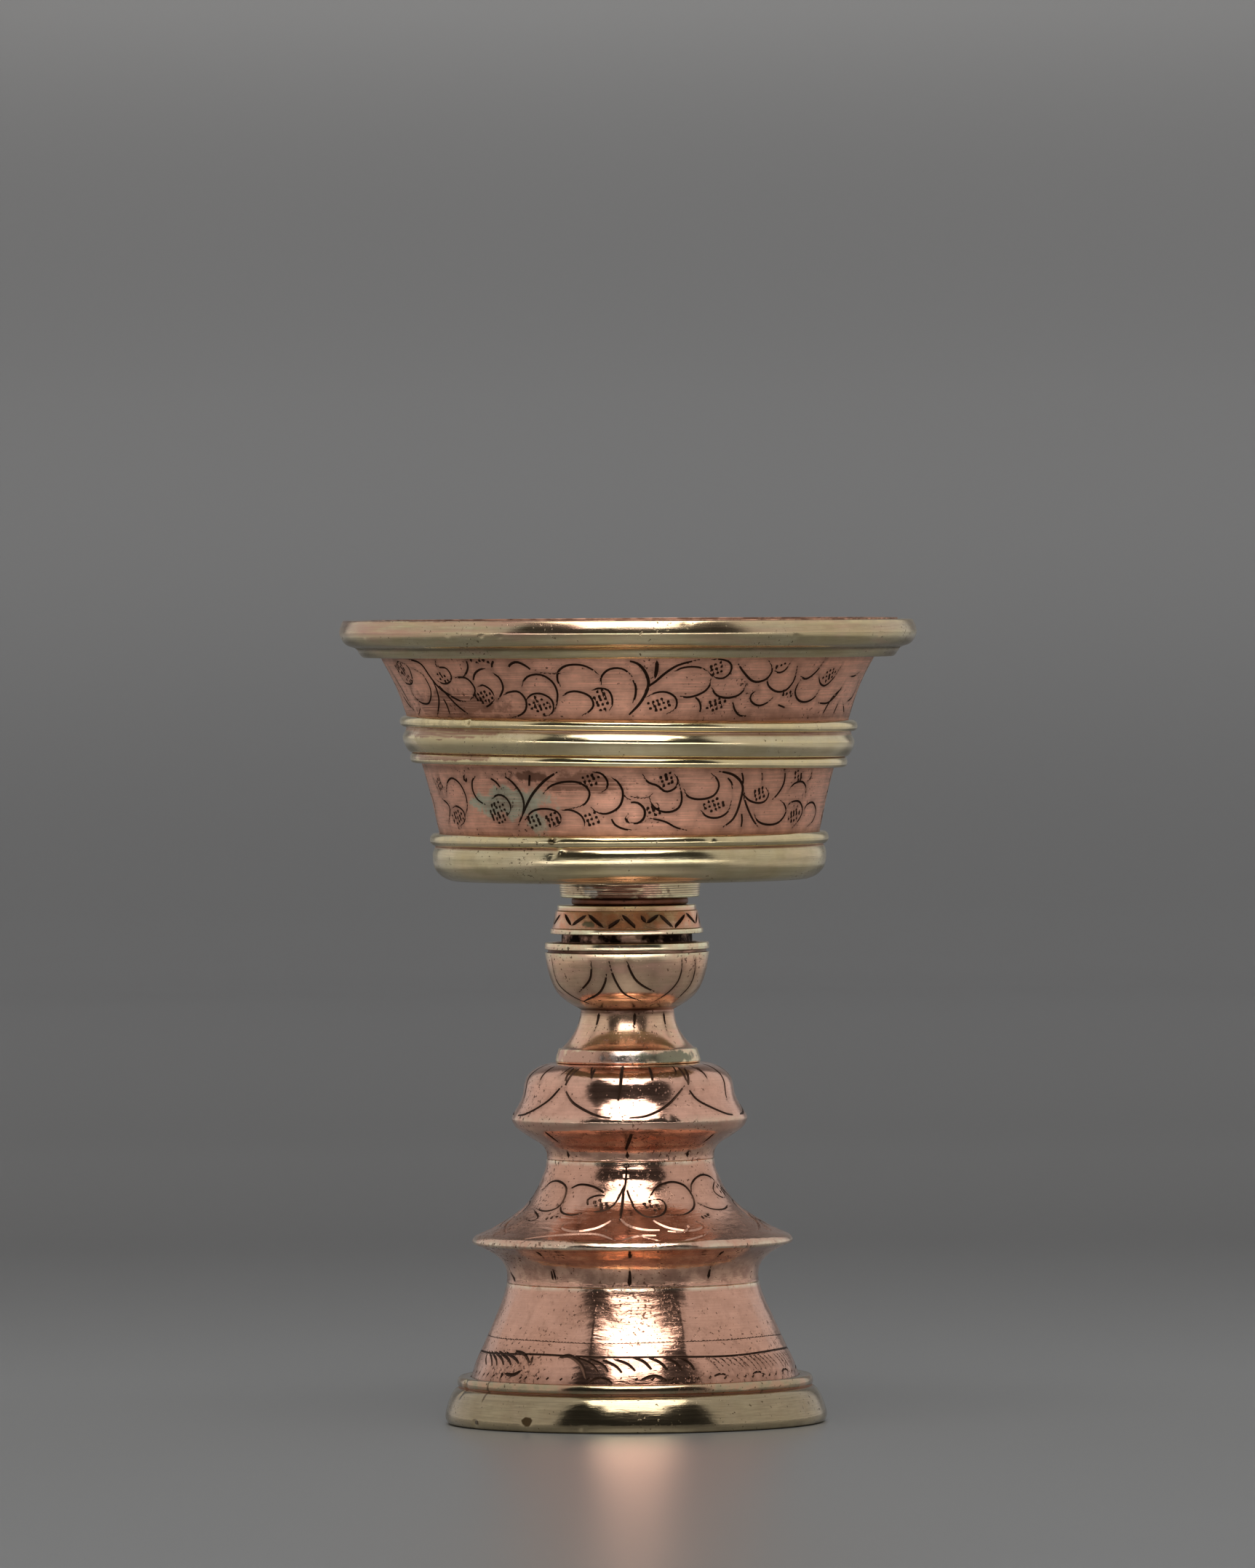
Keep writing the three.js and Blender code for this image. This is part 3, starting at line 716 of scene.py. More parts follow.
def at_place(angle, height, wide, high, strength=1.0):
    """A mask builder: a soft patch round one place, broken up by clouds."""
    to_x, to_y = math.sin(math.radians(angle)), -math.cos(math.radians(angle))

    def mask(n):
        x, y, z = n.split(n.here)
        # Distance from the patch's middle, across the face that looks that way
        u = (x * -to_y - y * -to_x) / (wide * MM)
        v = (z - height * MM) / (high * MM)
        far = n.math("SQRT", u * u + v * v)
        far = far + (n.fine_clouds - 0.5) * 1.6 + (n.noise(n.here, 900.0, 3.0) - 0.5) * 1.4
        return n.between(far, 0.72, 1.05, strength, 0.0) * n.between(x * to_x + y * to_y, 0.0, 0.004)
    return mask


def streaky(place, low=0.42, high=0.56):
    """A mask builder: another one's patch broken into lines that run round the piece."""
    def mask(n):
        return place(n) * n.between(n.noise(n.scaled(n.wrap, 0.9, 34.0), 1.0, 3.0, 0.6), low, high)
    return mask


def contact_dirt_and_shade(edge, end, strength):
    """A mask builder: painted shade, with some dirt, along a joint, thickest at one height and gone at
    another.
    """
    way = 0.4 if edge > end else -0.4

    def mask(n):
        z = n.split(n.here)[2] * 1000.0
        near = n.between(z, edge, end, strength, 0.0) * n.between(z, edge + way, edge)
        return near * n.between(n.fine_clouds, 0.3, 0.6, 0.6, 1.0)
    return mask


def blotches(strength, scale=700.0, low=0.54, high=0.70):
    def mask(n):
        return n.between(n.noise(n.here, scale, 5.0, 0.7), low, high, 0.0, strength)
    return mask


def pink_clouds(strength):
    def mask(n):
        return n.between(n.noise(n.scaled(n.wrap, 0.9, 4.0), 1.3, 4.0, 0.6, 0.6), 0.48, 0.72, 0.0, strength)
    return mask


def level_band(low, high, strength):
    """A mask builder: a ragged band between two heights."""
    def mask(n):
        z = n.split(n.here)[2]
        up = n.between(z, (low - 0.15) * MM, (low + 0.15) * MM)
        down = n.between(z, (high + 0.15) * MM, (high - 0.15) * MM)
        return up * down * (n.between(n.fine_clouds, 0.42, 0.58) * strength)
    return mask


def rim_pink(n):
    """Copper that shows through on the upper slope of the rim, most of all on the left."""
    x, _, z = n.split(n.here)
    patchy = n.between(n.noise(n.scaled(n.wrap, 0.5, 6.0), 1.0, 4.0, 0.6), 0.35, 0.6)
    return n.between(z, 0.1028, 0.1034) * n.between(x, 0.030, -0.022, 0.25, 1.0) * patchy


COPPER = (0.66, 0.355, 0.245, 1)
COPPER_PINK = (0.74, 0.42, 0.310, 1)
# Light copper for the faces under the flare and the lotus: painted light, for the light these down-facing
# faces catch
COPPER_PAINTED_LIGHT = (1.0, 0.60, 0.42, 1)
# Dark copper for dirt and stains, and also for painted shade at joints, in the stem's neck and along the top
# edges of bowl and rim
COPPER_DIRT_AND_SHADE = (0.16, 0.075, 0.048, 1)
BRASS = (0.76, 0.62, 0.35, 1)
BRASS_PALE = (0.85, 0.73, 0.47, 1)
BRASS_DIRT = (0.15, 0.095, 0.045, 1)
GILDING = (0.93, 0.69, 0.46, 1)
GILDING_BROWN = (0.90, 0.55, 0.36, 1)
VERDIGRIS = (0.60, 0.59, 0.44, 1)
CREVICE = (0.40, 0.22, 0.15, 1)
INK = (0.030, 0.016, 0.010, 1)

# The bowl's copper is set lighter than the foot's: painted light, for the light its down-facing wall catches
# from below
copper_bowl = metal(
    "bowl_copper", shade(COPPER, 1.50), shade(COPPER_PINK, 1.36), COPPER_DIRT_AND_SHADE, rough=0.58, lines=0.42,
    pits=1.2, patches=0.9, brushed=0.75, accents=[
        (VERDIGRIS, streaky(at_place(-37, 81.3, 6.2, 2.2), 0.30, 0.42)),
        (VERDIGRIS, at_place(-28, 79.0, 1.5, 1.6, 0.85)),
        (VERDIGRIS, at_place(-28, 82.2, 2.2, 1.3, 0.6)),
        (shade(COPPER_DIRT_AND_SHADE, 1.3), at_place(-29, 84.9, 2.6, 0.7, 0.9)),
        (shade(COPPER_DIRT_AND_SHADE, 1.8), streaky(at_place(-12, 84.0, 6.0, 1.6, 0.8), 0.36, 0.5)),
        (shade(COPPER_DIRT_AND_SHADE, 2.0), streaky(at_place(-50, 93.8, 10.0, 2.2, 0.8), 0.36, 0.5)),
        (shade(COPPER, 0.62), streaky(blotches(0.5, 120.0, 0.42, 0.6), 0.42, 0.6)),
        # Painted shade: a dark line along the top edge of the bowl
        (shade(COPPER_DIRT_AND_SHADE, 1.6), level_band(104.7, 106.0, 0.9)),
        # Painted shade, with some dirt, where the wall meets the pan, the waist band and the rim
        *[(shade(COPPER_DIRT_AND_SHADE, 1.4), contact_dirt_and_shade(*place)) for place in (
            (92.1, 93.5, 0.75), (77.1, 78.4, 0.70), (86.0, 85.0, 0.65), (100.1, 99.3, 0.60))]])
copper_foot = metal(
    "foot_copper", shade(COPPER_PINK, 1.17), shade(COPPER, 1.17), COPPER_DIRT_AND_SHADE, rough=0.13, lines=0.22,
    pits=1.6, patches=0.8, chatter=0.055, worn=(0.92, 0.74, 0.55, 1), dull=[level_band(24.9, 27.8, 0.35)],
    accents=[
        (shade(COPPER, 0.66), blotches(0.6)),
        # Painted light on the underside of the flare
        (COPPER_PAINTED_LIGHT, level_band(18.9, 23.2, 0.9)),
        # Painted shade, with some dirt, on the skirt just above the ring
        (shade(COPPER_DIRT_AND_SHADE, 1.8), contact_dirt_and_shade(6.2, 7.6, 0.5))])
copper_lotus = metal(
    "lotus_copper", shade(COPPER_PINK, 1.34), shade(COPPER_PINK, 1.18), COPPER_DIRT_AND_SHADE, rough=0.13, lines=0.25,
    pits=1.4, patches=0.8, chatter=0.045, worn=(0.95, 0.76, 0.56, 1), accents=[
        (shade(COPPER, 0.75), blotches(0.5)),
        # Painted light on the underside of the lotus
        (COPPER_PAINTED_LIGHT, level_band(34.6, 39.0, 0.9))])
stem_metal = metal(
    "stem_gilding_metal", shade(GILDING, 1.08), shade(GILDING_BROWN, 1.1), COPPER_DIRT_AND_SHADE, rough=0.13,
    lines=0.35, pits=1.1, patches=1.0, chatter=0.006,
    dull=[level_band(47.1, 48.9, 0.35), level_band(62.7, 64.0, 0.8), pink_clouds(0.2)], accents=[
        (shade(COPPER_PINK, 1.38), pink_clouds(0.9)),
        ((0.86, 0.40, 0.24, 1), level_band(64.75, 66.9, 0.95)),
        # Painted shade: the neck between bulb and zigzag band, made nearly black as the recess it is
        (shade(COPPER_DIRT_AND_SHADE, 0.10), level_band(62.85, 63.92, 1.0)),
        ((0.95, 0.55, 0.38, 1), level_band(49.0, 51.4, 0.9)),
        (shade(COPPER_PINK, 0.90), at_place(-30, 48.0, 8.0, 1.2, 0.95)),
        # Painted highlight: a pale patch on the front of the stem's disc
        ((1.0, 0.82, 0.72, 1), at_place(-2, 48.1, 4.0, 0.8, 0.85)),
        ((0.22, 0.22, 0.15, 1), at_place(32, 47.9, 5.0, 0.9, 0.9)),
        ((0.16, 0.16, 0.10, 1), at_place(-33, 65.3, 1.0, 0.6, 0.9))])
collar_metal = metal(
    "collar_brass", BRASS_PALE, GILDING, BRASS_DIRT, rough=0.20, lines=0.9, pits=0.9, accents=[
        (shade(COPPER_DIRT_AND_SHADE, 0.9), streaky(at_place(-12, 69.7, 5.5, 2.0), 0.34, 0.46)),
        ((0.55, 0.52, 0.44, 1), streaky(at_place(-34, 69.5, 1.4, 0.8, 0.9))),
        ((0.14, 0.12, 0.08, 1), streaky(at_place(-40, 70.5, 5.0, 0.35, 0.9))),
        (shade(COPPER_PINK, 0.8), at_place(18, 69.7, 1.5, 1.4, 0.7))])
# Unpolished old copper for the seat washer, kept very dark as painted shade for the recess between zigzag
# band and collar
dark_copper_and_shade = metal(
    "old_copper_and_shade", (0.17, 0.07, 0.045, 1), (0.10, 0.045, 0.03, 1), COPPER_DIRT_AND_SHADE, rough=0.42, lines=0.3,
    pits=0.5)
brass_rim = metal(
    "rim_brass", shade(BRASS, 0.92), shade(BRASS_PALE, 0.88), BRASS_DIRT, rough=0.15, lines=0.4, pits=1.1,
    chatter=0.009, filed=0.16, accents=[
        (shade(COPPER_PINK, 0.85), rim_pink),
        (shade(COPPER_PINK, 0.95), pink_clouds(0.4)),
        # Painted shade: a dark line along the top edge of the rim
        (shade(COPPER_DIRT_AND_SHADE, 2.0), level_band(104.85, 106.0, 0.9))])
brass_waist = metal(
    "waist_brass", BRASS, BRASS_PALE, BRASS_DIRT, rough=0.12, lines=0.25, pits=0.6, chatter=0.008,
    crevice=CREVICE, dull=[at_place(-50, 89.5, 12.0, 3.0, 0.5)], accents=[
        (shade(BRASS, 0.85), at_place(-50, 89.5, 12.0, 3.0, 0.5)),
        (CREVICE, streaky(at_place(-56, 90.4, 12.0, 0.7, 0.9), 0.36, 0.5)),
        (CREVICE, streaky(at_place(-60, 87.3, 12.0, 0.5, 0.9), 0.36, 0.5)),
        (GILDING, pink_clouds(0.35))])
brass_pan = metal(
    "pan_brass", shade(BRASS, 0.92), shade(BRASS_PALE, 0.9), BRASS_DIRT, rough=0.15, lines=0.40, pits=1.1,
    chatter=0.010, crevice=CREVICE, accents=[
        (GILDING, pink_clouds(0.4)),
        (BRASS_PALE, at_place(-20.5, 75.4, 0.5, 0.5, 0.9)),
        (shade(BRASS_DIRT, 0.9), at_place(-22.5, 76.5, 0.6, 0.5, 0.8))])
brass_ring = metal(
    "ring_brass", (0.486, 0.40, 0.245, 1), (0.45, 0.34, 0.22, 1), BRASS_DIRT, rough=0.12, lines=0.40,
    pits=1.1, patches=0.9, chatter=0.025, filed=0.22, crevice=CREVICE, accents=[
        # Painted reflection: the orange of the copper skirt laid on the ring's top flange
        ((0.58, 0.36, 0.23, 1), level_band(4.95, 6.4, 0.95)),
        (shade(BRASS_DIRT, 0.5), at_place(-34, 1.4, 0.8, 0.55)),
        (shade(BRASS_DIRT, 0.6), at_place(-56, 0.9, 0.6, 0.4, 0.9)),
        (shade(BRASS_DIRT, 0.7), at_place(-55, 4.9, 0.25, 1.5, 0.8))])
brass_plain = metal("small_brass", BRASS, GILDING, BRASS_DIRT, rough=0.32, lines=0.4, pits=0.5)


# Outlines that more than one piece follows, as (radius, height)

SKIRT = [(22.6, 0.6), (21.38, 6.3), (19.92, 10.03), (18.33, 13.42), (16.85, 17.1), (16.5, 18.4)]
BOWL = [(24.2, 74.65), (24.93, 77.67), (25.82, 81.82), (26.9, 85.85), (27.92, 88.92), (28.98, 92.57),
        (30.43, 96.6), (32.38, 100.25), (33.96, 102.94), (35.4, 105.05)]
BOWL_HEEL = [(21.6, 72.05), (23.03, 72.41), (23.89, 73.35), (24.2, 74.65)]


def offset(points, gap, count):
    """Points of a curve through the given ones, moved to its left by a gap."""
    line = smooth(points)
    s = lengths(line)
    d = np.gradient(line, axis=0)
    d /= np.linalg.norm(d, axis=1)[:, None]
    moved = line + gap * np.column_stack([-d[:, 1], d[:, 0]])
    at = np.linspace(0, s[-1], count)
    return [(float(np.interp(a, s, moved[:, 0])), float(np.interp(a, s, moved[:, 1]))) for a in at]


def on_curve(points, z, out=0.0):
    """The curve's point at a height, moved out a little."""
    line = smooth(points)
    return float(np.interp(z, line[:, 1], line[:, 0])) + out, z


def beside(points, heights):
    """Points a hair outside a curve, where a band lies on it."""
    return [on_curve(points, z, 0.04) for z in heights]


# What the graver cut, read from the photograph. A view is a window of the photograph:
# its left and top pixel, its enlargement, and the pixel where the axis stands.
# A stroke is a width in millimetres and then x, y pairs in the enlarged window.

BOWL_LEFT = (440, 820, 3.646, 862.4)
BOWL_RIGHT = (860, 820, 3.646, 862.5)
STEM_VIEW = (730, 1200, 5.808, 863.4)
MIDDLE_VIEW = (600, 1440, 2.958, 866.1)
FOOT_VIEW = (640, 1650, 4.6125, 870.0)

UPPER_WALL_LEFT = [
    (.24, 345,345, 400,440, 470,565), (.24, 370,310, 445,345, 465,425, 425,420, 385,350, 370,310),
    (.24, 455,345, 520,385, 530,400, 555,450, 560,490, 545,530, 500,520, 462,475, 452,420),
    (.34, 440,305, 510,330, 560,400, 600,450, 640,480, 700,515, 745,522),
    (.30, 565,405, 590,465, 600,520, 590,598), (.26, 615,495, 640,540, 657,597),
    (.28, 590,430, 680,530, 755,592), (.22, 505,548, 495,590), (.24, 400,470, 440,530, 475,568),
    (.26, 585,305, 590,345, 640,355, 665,400, 640,432, 590,415, 568,380),
    (.28, 735,305, 748,345, 735,385, 715,400), (.28, 668,402, 740,405, 782,460, 770,500, 745,522),
    (.30, 880,308, 865,345, 875,370), (.28, 772,430, 780,385, 815,358, 850,362),
    (.28, 852,370, 900,400, 922,450, 910,490, 888,525), (.26, 785,455, 820,440, 865,470, 880,515),
    (.24, 825,555, 860,535, 882,505), (.34, 948,365, 955,340, 990,325, 1040,348, 1070,375),
    (.20, 1070,375, 1150,385, 1220,382, 1260,370),
    (.28, 1015,465, 1018,430, 1050,395, 1110,390, 1165,425, 1190,480, 1185,540, 1170,590),
    (.28, 912,500, 945,478, 1000,475, 1035,520, 1030,570, 990,598, 950,604),
    (.26, 1030,525, 1060,490, 1110,485, 1160,515, 1172,560, 1155,590, 1115,598),
    (.30, 1215,465, 1192,420, 1195,375, 1235,345, 1310,343, 1370,370, 1405,405),
    (.28, 1205,510, 1240,480, 1290,475, 1350,500, 1368,545, 1340,580, 1295,602),
    (.26, 1345,480, 1390,460, 1440,470, 1460,510, 1455,560, 1430,580),
    (.28, 1412,460, 1405,410, 1440,368, 1500,360, 1545,385, 1568,420),
]
UPPER_WALL_LEFT_BUDS = [
    (402,350, 26,32), (442,400, 16,28), (620,400, 32,26), (805,318, 48,14), (825,500, 42,45),
    (1102,545, 50,48), (1405,520, 34,62),
]
UPPER_WALL_RIGHT = [
    (.28, 25,405, 45,450, 42,505, 20,550), (.38, 0,320, 60,340, 100,395, 108,450, 70,530, 0,605),
    (.46, 150,320, 150,360, 140,415), (.32, 85,500, 105,455, 140,430, 200,380, 260,345, 380,315),
    (.26, 220,390, 270,362, 330,355, 380,365, 410,390),
    (.26, 400,325, 450,318, 505,330, 520,360, 505,395, 470,415, 420,400, 400,370),
    (.26, 85,515, 140,485, 200,482, 245,515, 240,565, 180,598),
    (.28, 250,495, 290,508, 340,500, 390,475, 415,440, 415,400), (.26, 330,500, 360,530, 365,570, 352,597),
    (.28, 415,445, 440,495, 490,512, 550,500, 585,465, 592,430),
    (.30, 545,330, 580,385, 630,432, 690,420, 720,380, 712,340, 695,318),
    (.26, 520,520, 535,575, 560,602, 605,602), (.26, 725,370, 750,388, 785,375, 820,325),
    (.28, 695,400, 700,450, 740,482, 790,475, 830,425, 850,340),
    (.26, 655,475, 620,490, 612,525, 650,552, 700,535, 735,500), (.24, 740,545, 795,568),
    (.28, 855,400, 890,420, 940,385, 990,318), (.28, 865,420, 835,480, 850,525, 890,535, 935,510, 965,460),
    (.26, 955,400, 960,440, 985,455, 1030,415, 1075,345), (.30, 970,605, 1020,520, 1080,460),
    (.26, 1025,607, 1060,530), (.24, 1085,600, 1080,540), (.26, 945,540, 1000,540, 1050,495, 1085,440),
    (.26, 1095,540, 1140,500, 1170,420), (.24, 1110,410, 1140,405, 1170,380),
]
UPPER_WALL_RIGHT_BUDS = [
    (445,365, 44,36), (160,545, 62,42), (440,545, 46,46), (765,350, 32,18), (795,492, 34,22),
    (1008,400, 28,36),
]
LOWER_WALL_LEFT = [
    (.22, 555,890, 580,945, 600,1000), (.24, 600,1000, 645,1050, 640,1140),
    (.26, 630,990, 635,930, 660,905, 700,935, 730,1000, 735,1060, 720,1100),
    (.24, 655,1060, 680,1045, 718,1075, 722,1120, 695,1150), (.34, 725,885, 718,910, 745,930),
    (.28, 785,890, 762,920, 765,970, 790,1015, 838,1045), (.28, 840,900, 880,925, 910,965),
    (.30, 912,890, 960,925, 1005,985, 1020,1040, 1005,1120),
    (.26, 850,1020, 890,990, 930,1005, 955,1055, 935,1100),
    (.34, 1200,870, 1130,915, 1065,985, 1030,1050, 985,1160), (.30, 1050,875, 1045,965),
    (.28, 1105,1000, 1150,950, 1220,928, 1300,935, 1345,980, 1320,1040, 1230,1068),
    (.26, 1340,880, 1400,885, 1435,930, 1420,975, 1385,980),
    (.28, 1435,900, 1480,925, 1510,985, 1490,1055, 1425,1090, 1370,1075, 1340,1040),
    (.22, 1510,985, 1530,1015, 1568,1020),
    (.26, 1015,1130, 1060,1075, 1120,1062, 1180,1075, 1203,1110, 1185,1150, 1150,1158),
    (.26, 1190,1075, 1245,1068, 1300,1095, 1320,1135, 1310,1165),
    (.26, 1445,1100, 1470,1145, 1520,1168, 1568,1170), (.34, 1530,1095, 1522,1120, 1545,1140),
]
LOWER_WALL_LEFT_BUDS = [
    (596,935, 14,40), (686,1100, 28,44), (733,915, 10,18), (892,1080, 42,62), (1345,922, 50,40),
    (1160,1115, 40,40), (1070,1125, 38,40), (1355,1115, 46,46),
]
LOWER_WALL_RIGHT = [
    (.20, 0,1000, 60,1012, 110,1005, 135,975),
    (.28, 70,875, 100,930, 150,950, 190,980, 240,960, 250,915, 220,880),
    (.28, 105,990, 125,1050, 180,1082, 245,1070, 270,1020, 250,910),
    (.28, 275,950, 300,1005, 365,1020, 430,1000, 455,950, 430,900, 385,878),
    (.26, 355,1060, 390,1105, 450,1112, 500,1080, 520,1010), (.24, 490,905, 518,940, 520,985),
    (.34, 440,878, 520,895, 565,935, 572,980, 530,1110, 460,1170), (.26, 565,875, 575,920, 570,970),
    (.28, 570,980, 590,1050, 620,1120, 655,1170), (.26, 565,1080, 568,1130, 560,1175),
    (.26, 575,965, 590,1015, 640,1040, 685,1030, 702,990, 670,945), (.24, 665,875, 672,910, 665,945),
    (.28, 785,875, 780,935, 755,985, 710,1035),
    (.28, 625,1080, 645,1130, 700,1150, 755,1135, 788,1085, 775,1040, 740,1020),
    (.26, 800,980, 830,945, 870,935, 890,965, 885,1010),
    (.26, 790,1070, 810,1040, 855,1035, 872,1080, 850,1130, 810,1175), (.26, 920,875, 915,915, 890,940),
    (.26, 875,1100, 890,1055, 925,1040, 940,1085, 925,1130, 890,1165),
    (.30, 0,1035, 50,1035, 85,1070, 80,1115, 40,1140, 0,1125), (.24, 95,1110, 185,1130, 240,1160, 310,1178),
]
LOWER_WALL_RIGHT_BUDS = [
    (196,920, 40,38), (430,1050, 58,32), (655,993, 36,34), (850,905, 28,24), (828,1105, 26,46),
    (132,1075, 46,26),
]
ZIGZAG = [
    (.34, 185,410, 245,330), (.34, 275,325, 325,420), (.34, 325,420, 440,335), (.34, 450,330, 570,440),
    (.34, 590,465, 700,370), (.34, 710,335, 830,450), (.34, 860,340, 905,405), (.34, 905,405, 1010,335),
    (.34, 1010,335, 1130,445), (.34, 1130,445, 1230,335), (.34, 1235,325, 1320,410),
    (.30, 1320,410, 1335,320),
]
BULB_PETALS = [
    (.22, 170,650, 185,780, 220,880, 290,955, 400,1020, 520,1060), (.24, 460,660, 472,760, 455,860, 370,965),
    (.26, 590,780, 575,880, 525,965, 410,1030), (.24, 600,675, 625,780, 660,870, 730,970, 880,1035),
    (.26, 740,665, 765,760, 815,855, 890,915, 990,960), (.22, 1195,670, 1195,780, 1150,890, 960,1035),
    (.22, 1305,645, 1310,770, 1275,890, 1200,975, 1120,1045),
]
LOTUS_FRONT = [
    (.34, 520,165, 545,215, 590,250, 665,283, 750,302), (.34, 750,302, 850,280, 940,232, 1015,148),
    (.34, 520,168, 542,122, 590,82), (.34, 1018,150, 1005,115, 975,80), (.40, 755,76, 745,150, 731,232),
    (.36, 645,86, 632,112, 626,138), (.36, 860,82, 872,118, 875,150),
]
LOTUS_UNDER = [
    (.44, 435,335, 465,362, 495,386), (.44, 790,345, 778,380, 765,422), (.40, 1130,350, 1080,392),
]
TRUMPET = [
    (.22, 765,455, 765,520, 755,600), (.30, 755,560, 748,640, 735,714),
    (.24, 395,650, 440,665, 490,650, 520,605, 522,565, 490,543, 455,552, 420,590),
    (.24, 535,578, 580,558, 640,570, 690,605), (.24, 500,640, 505,670, 545,682, 600,672),
    (.24, 612,650, 610,620, 650,603, 690,605), (.24, 620,672, 680,662, 720,635, 740,590),
    (.24, 850,622, 890,570, 950,550, 1005,568, 1035,610, 1040,650, 1000,682, 920,684),
    (.24, 780,618, 800,660, 850,692, 905,685, 926,650, 905,622, 850,625),
    (.22, 1030,600, 1032,555, 1070,522, 1115,535, 1135,560), (.22, 1180,640, 1160,662, 1110,660, 1045,630),
    (.22, 390,655, 410,690, 385,705, 350,690), (.20, 1125,545, 1120,585, 1150,612, 1172,612),
    (.22, 755,565, 740,600, 720,640), (.22, 765,570, 775,605, 800,655),
]
TRUMPET_BUDS = [
    (662,640, 34,24), (868,648, 40,28), (465,692, 34,14), (1085,690, 40,14), (1152,582, 16,22),
]
FLANGE_TOP = [
    (.24, 355,250, 480,232, 620,220, 760,215, 860,222, 930,248, 975,278),
    (.24, 975,278, 1030,248, 1107,230, 1240,228),
    (.22, 640,150, 610,170, 650,192, 720,198, 830,180, 900,150, 945,120),
    (.20, 270,210, 262,160, 300,120, 400,10), (.22, 1107,230, 1250,262, 1400,258, 1540,215),
    (.22, 975,110, 1030,160, 1130,190, 1260,195), (.20, 1390,150, 1420,180, 1380,205, 1260,200),
]
FLARE_UNDER = [
    (.50, 195,335, 160,310, 125,288), (.50, 510,378, 485,350, 460,318), (.55, 1045,385, 1047,355, 1045,326),
    (.50, 1585,378, 1612,350, 1635,320),
]
FLARE_SEAM = [
    (.50, 255,395, 285,450, 318,515), (.34, 535,415, 550,460, 560,512), (.34, 548,412, 565,460, 578,508),
    (.50, 1040,418, 1045,480, 1040,552), (.46, 1560,412, 1545,460, 1535,508),
]
SKIRT_FANS = [
    (.20, 130,945, 120,1000, 128,1050), (.20, 140,950, 160,1005, 165,1062),
    (.20, 155,950, 190,1010, 196,1062), (.22, 175,952, 225,1005, 242,1058),
    (.24, 205,955, 270,1010, 292,1058), (.24, 240,958, 315,1005, 345,1048), (.24, 300,955, 370,975, 410,1048),
    (.22, 410,1048, 418,1010, 425,982), (.28, 245,1098, 300,1108, 358,1078),
    (.22, 240,1085, 228,1105, 215,1125), (.32, 590,1000, 660,990, 735,1050, 765,1142),
    (.22, 700,998, 800,1045, 850,1112), (.22, 780,1008, 870,1050, 915,1112),
    (.22, 850,1012, 950,1055, 1003,1115), (.22, 930,1008, 1030,1045, 1088,1104),
    (.28, 775,1168, 830,1136, 890,1142, 945,1182), (.24, 1055,1000, 1130,1030, 1190,1095),
    (.24, 1150,1000, 1230,1035, 1290,1100), (.24, 1250,1000, 1330,1040, 1380,1105),
    (.22, 1340,1000, 1420,1045, 1455,1105), (.28, 1100,1150, 1200,1120, 1290,1165),
]

rng = random.Random(11)


def draw(zone, view, strokes, width=1.12, depth=0.15, shape="stroke", turns=TWICE):
    left, top, zoom, axis_x = view
    for stroke in strokes:
        places = zip(stroke[1::2], stroke[2::2])
        angles, s = zip(*(zone.from_photo(left + x / zoom, top + y / zoom, axis_x) for x, y in places))
        for turn in turns:
            zone.add(np.array(angles) + turn, s, stroke[0] * width, depth, shape)


def punch_grid(zone, angle, s, wide, high, size=0.40, slant=0.35):
    """Small square punch marks in slanting rows inside an oval, on the surface."""
    pitch = 1.55 * size
    radius = zone.radius(s)
    reach = int(max(wide, high) / pitch) + 1
    for i in range(-reach, reach + 1):
        for j in range(-reach, reach + 1):
            x = (i * math.cos(slant) - j * math.sin(slant)) * pitch
            y = (i * math.sin(slant) + j * math.cos(slant)) * pitch
            if (x / wide) ** 2 + (y / high) ** 2 > 1:
                continue
            x += rng.uniform(-0.07, 0.07)
            y += rng.uniform(-0.07, 0.07)
            half = size / 2 * rng.uniform(0.8, 1.15)
            zone.add([angle + x / radius] * 2, [s + y - half, s + y + half], size * rng.uniform(0.8, 1.05),
                     shape="punch")


def buds(zone, view, places, size=0.40):
    left, top, zoom, axis_x = view
    unit = zoom * PHOTO_SCALE
    for x, y, wide, high in places:
        angle, s = zone.from_photo(left + x / zoom, top + y / zoom, axis_x)
        unturned = wide / unit / max(0.3, math.cos(angle))
        for turn in TWICE:
            punch_grid(zone, angle + turn, s, unturned, high / unit, size)


def scroll_between(zone, angle, low_z, high_z):
    """Lobes and a bud in the manner of the front, for a side that the photograph doesn't show."""
    middle = (low_z + high_z) / 2
    share = (high_z - low_z) / 8
    radius = zone.radius(zone.at_height(middle))
    for width, points in (
            (0.34, [(-3.6, 3.4), (-2.2, 1.6), (-0.6, -0.6), (0.9, -2.4), (3.2, -3.6)]),
            (0.28, [(-3.4, -1.0), (-2.6, 0.6), (-1.4, 0.7), (-0.4, -0.6)]),
            (0.28, [(-0.6, 3.6), (-0.9, 2.2), (0.4, 1.1), (2.0, 1.6), (2.3, 3.0)]),
            (0.28, [(0.2, -0.2), (1.4, 0.8), (3.0, 0.4), (3.4, -1.2), (2.2, -2.2)]),
            (0.26, [(-2.9, -3.6), (-2.9, -2.2), (-1.6, -1.5), (-0.5, -2.2), (-0.8, -3.5)])):
        angles, heights = zip(*((angle + x / radius, middle + y * share) for x, y in points))
        zone.cut(angles, heights, width, 0.12)
    for x, y, high in ((-1.8, -2.7, 0.8), (1.0, 2.6, 0.7)):
        punch_grid(zone, angle + x / radius, zone.at_height(middle + y * share), 0.9, high)


# The base: ring, skirt, flare, lotus, stem, and the washer and nut on the tang

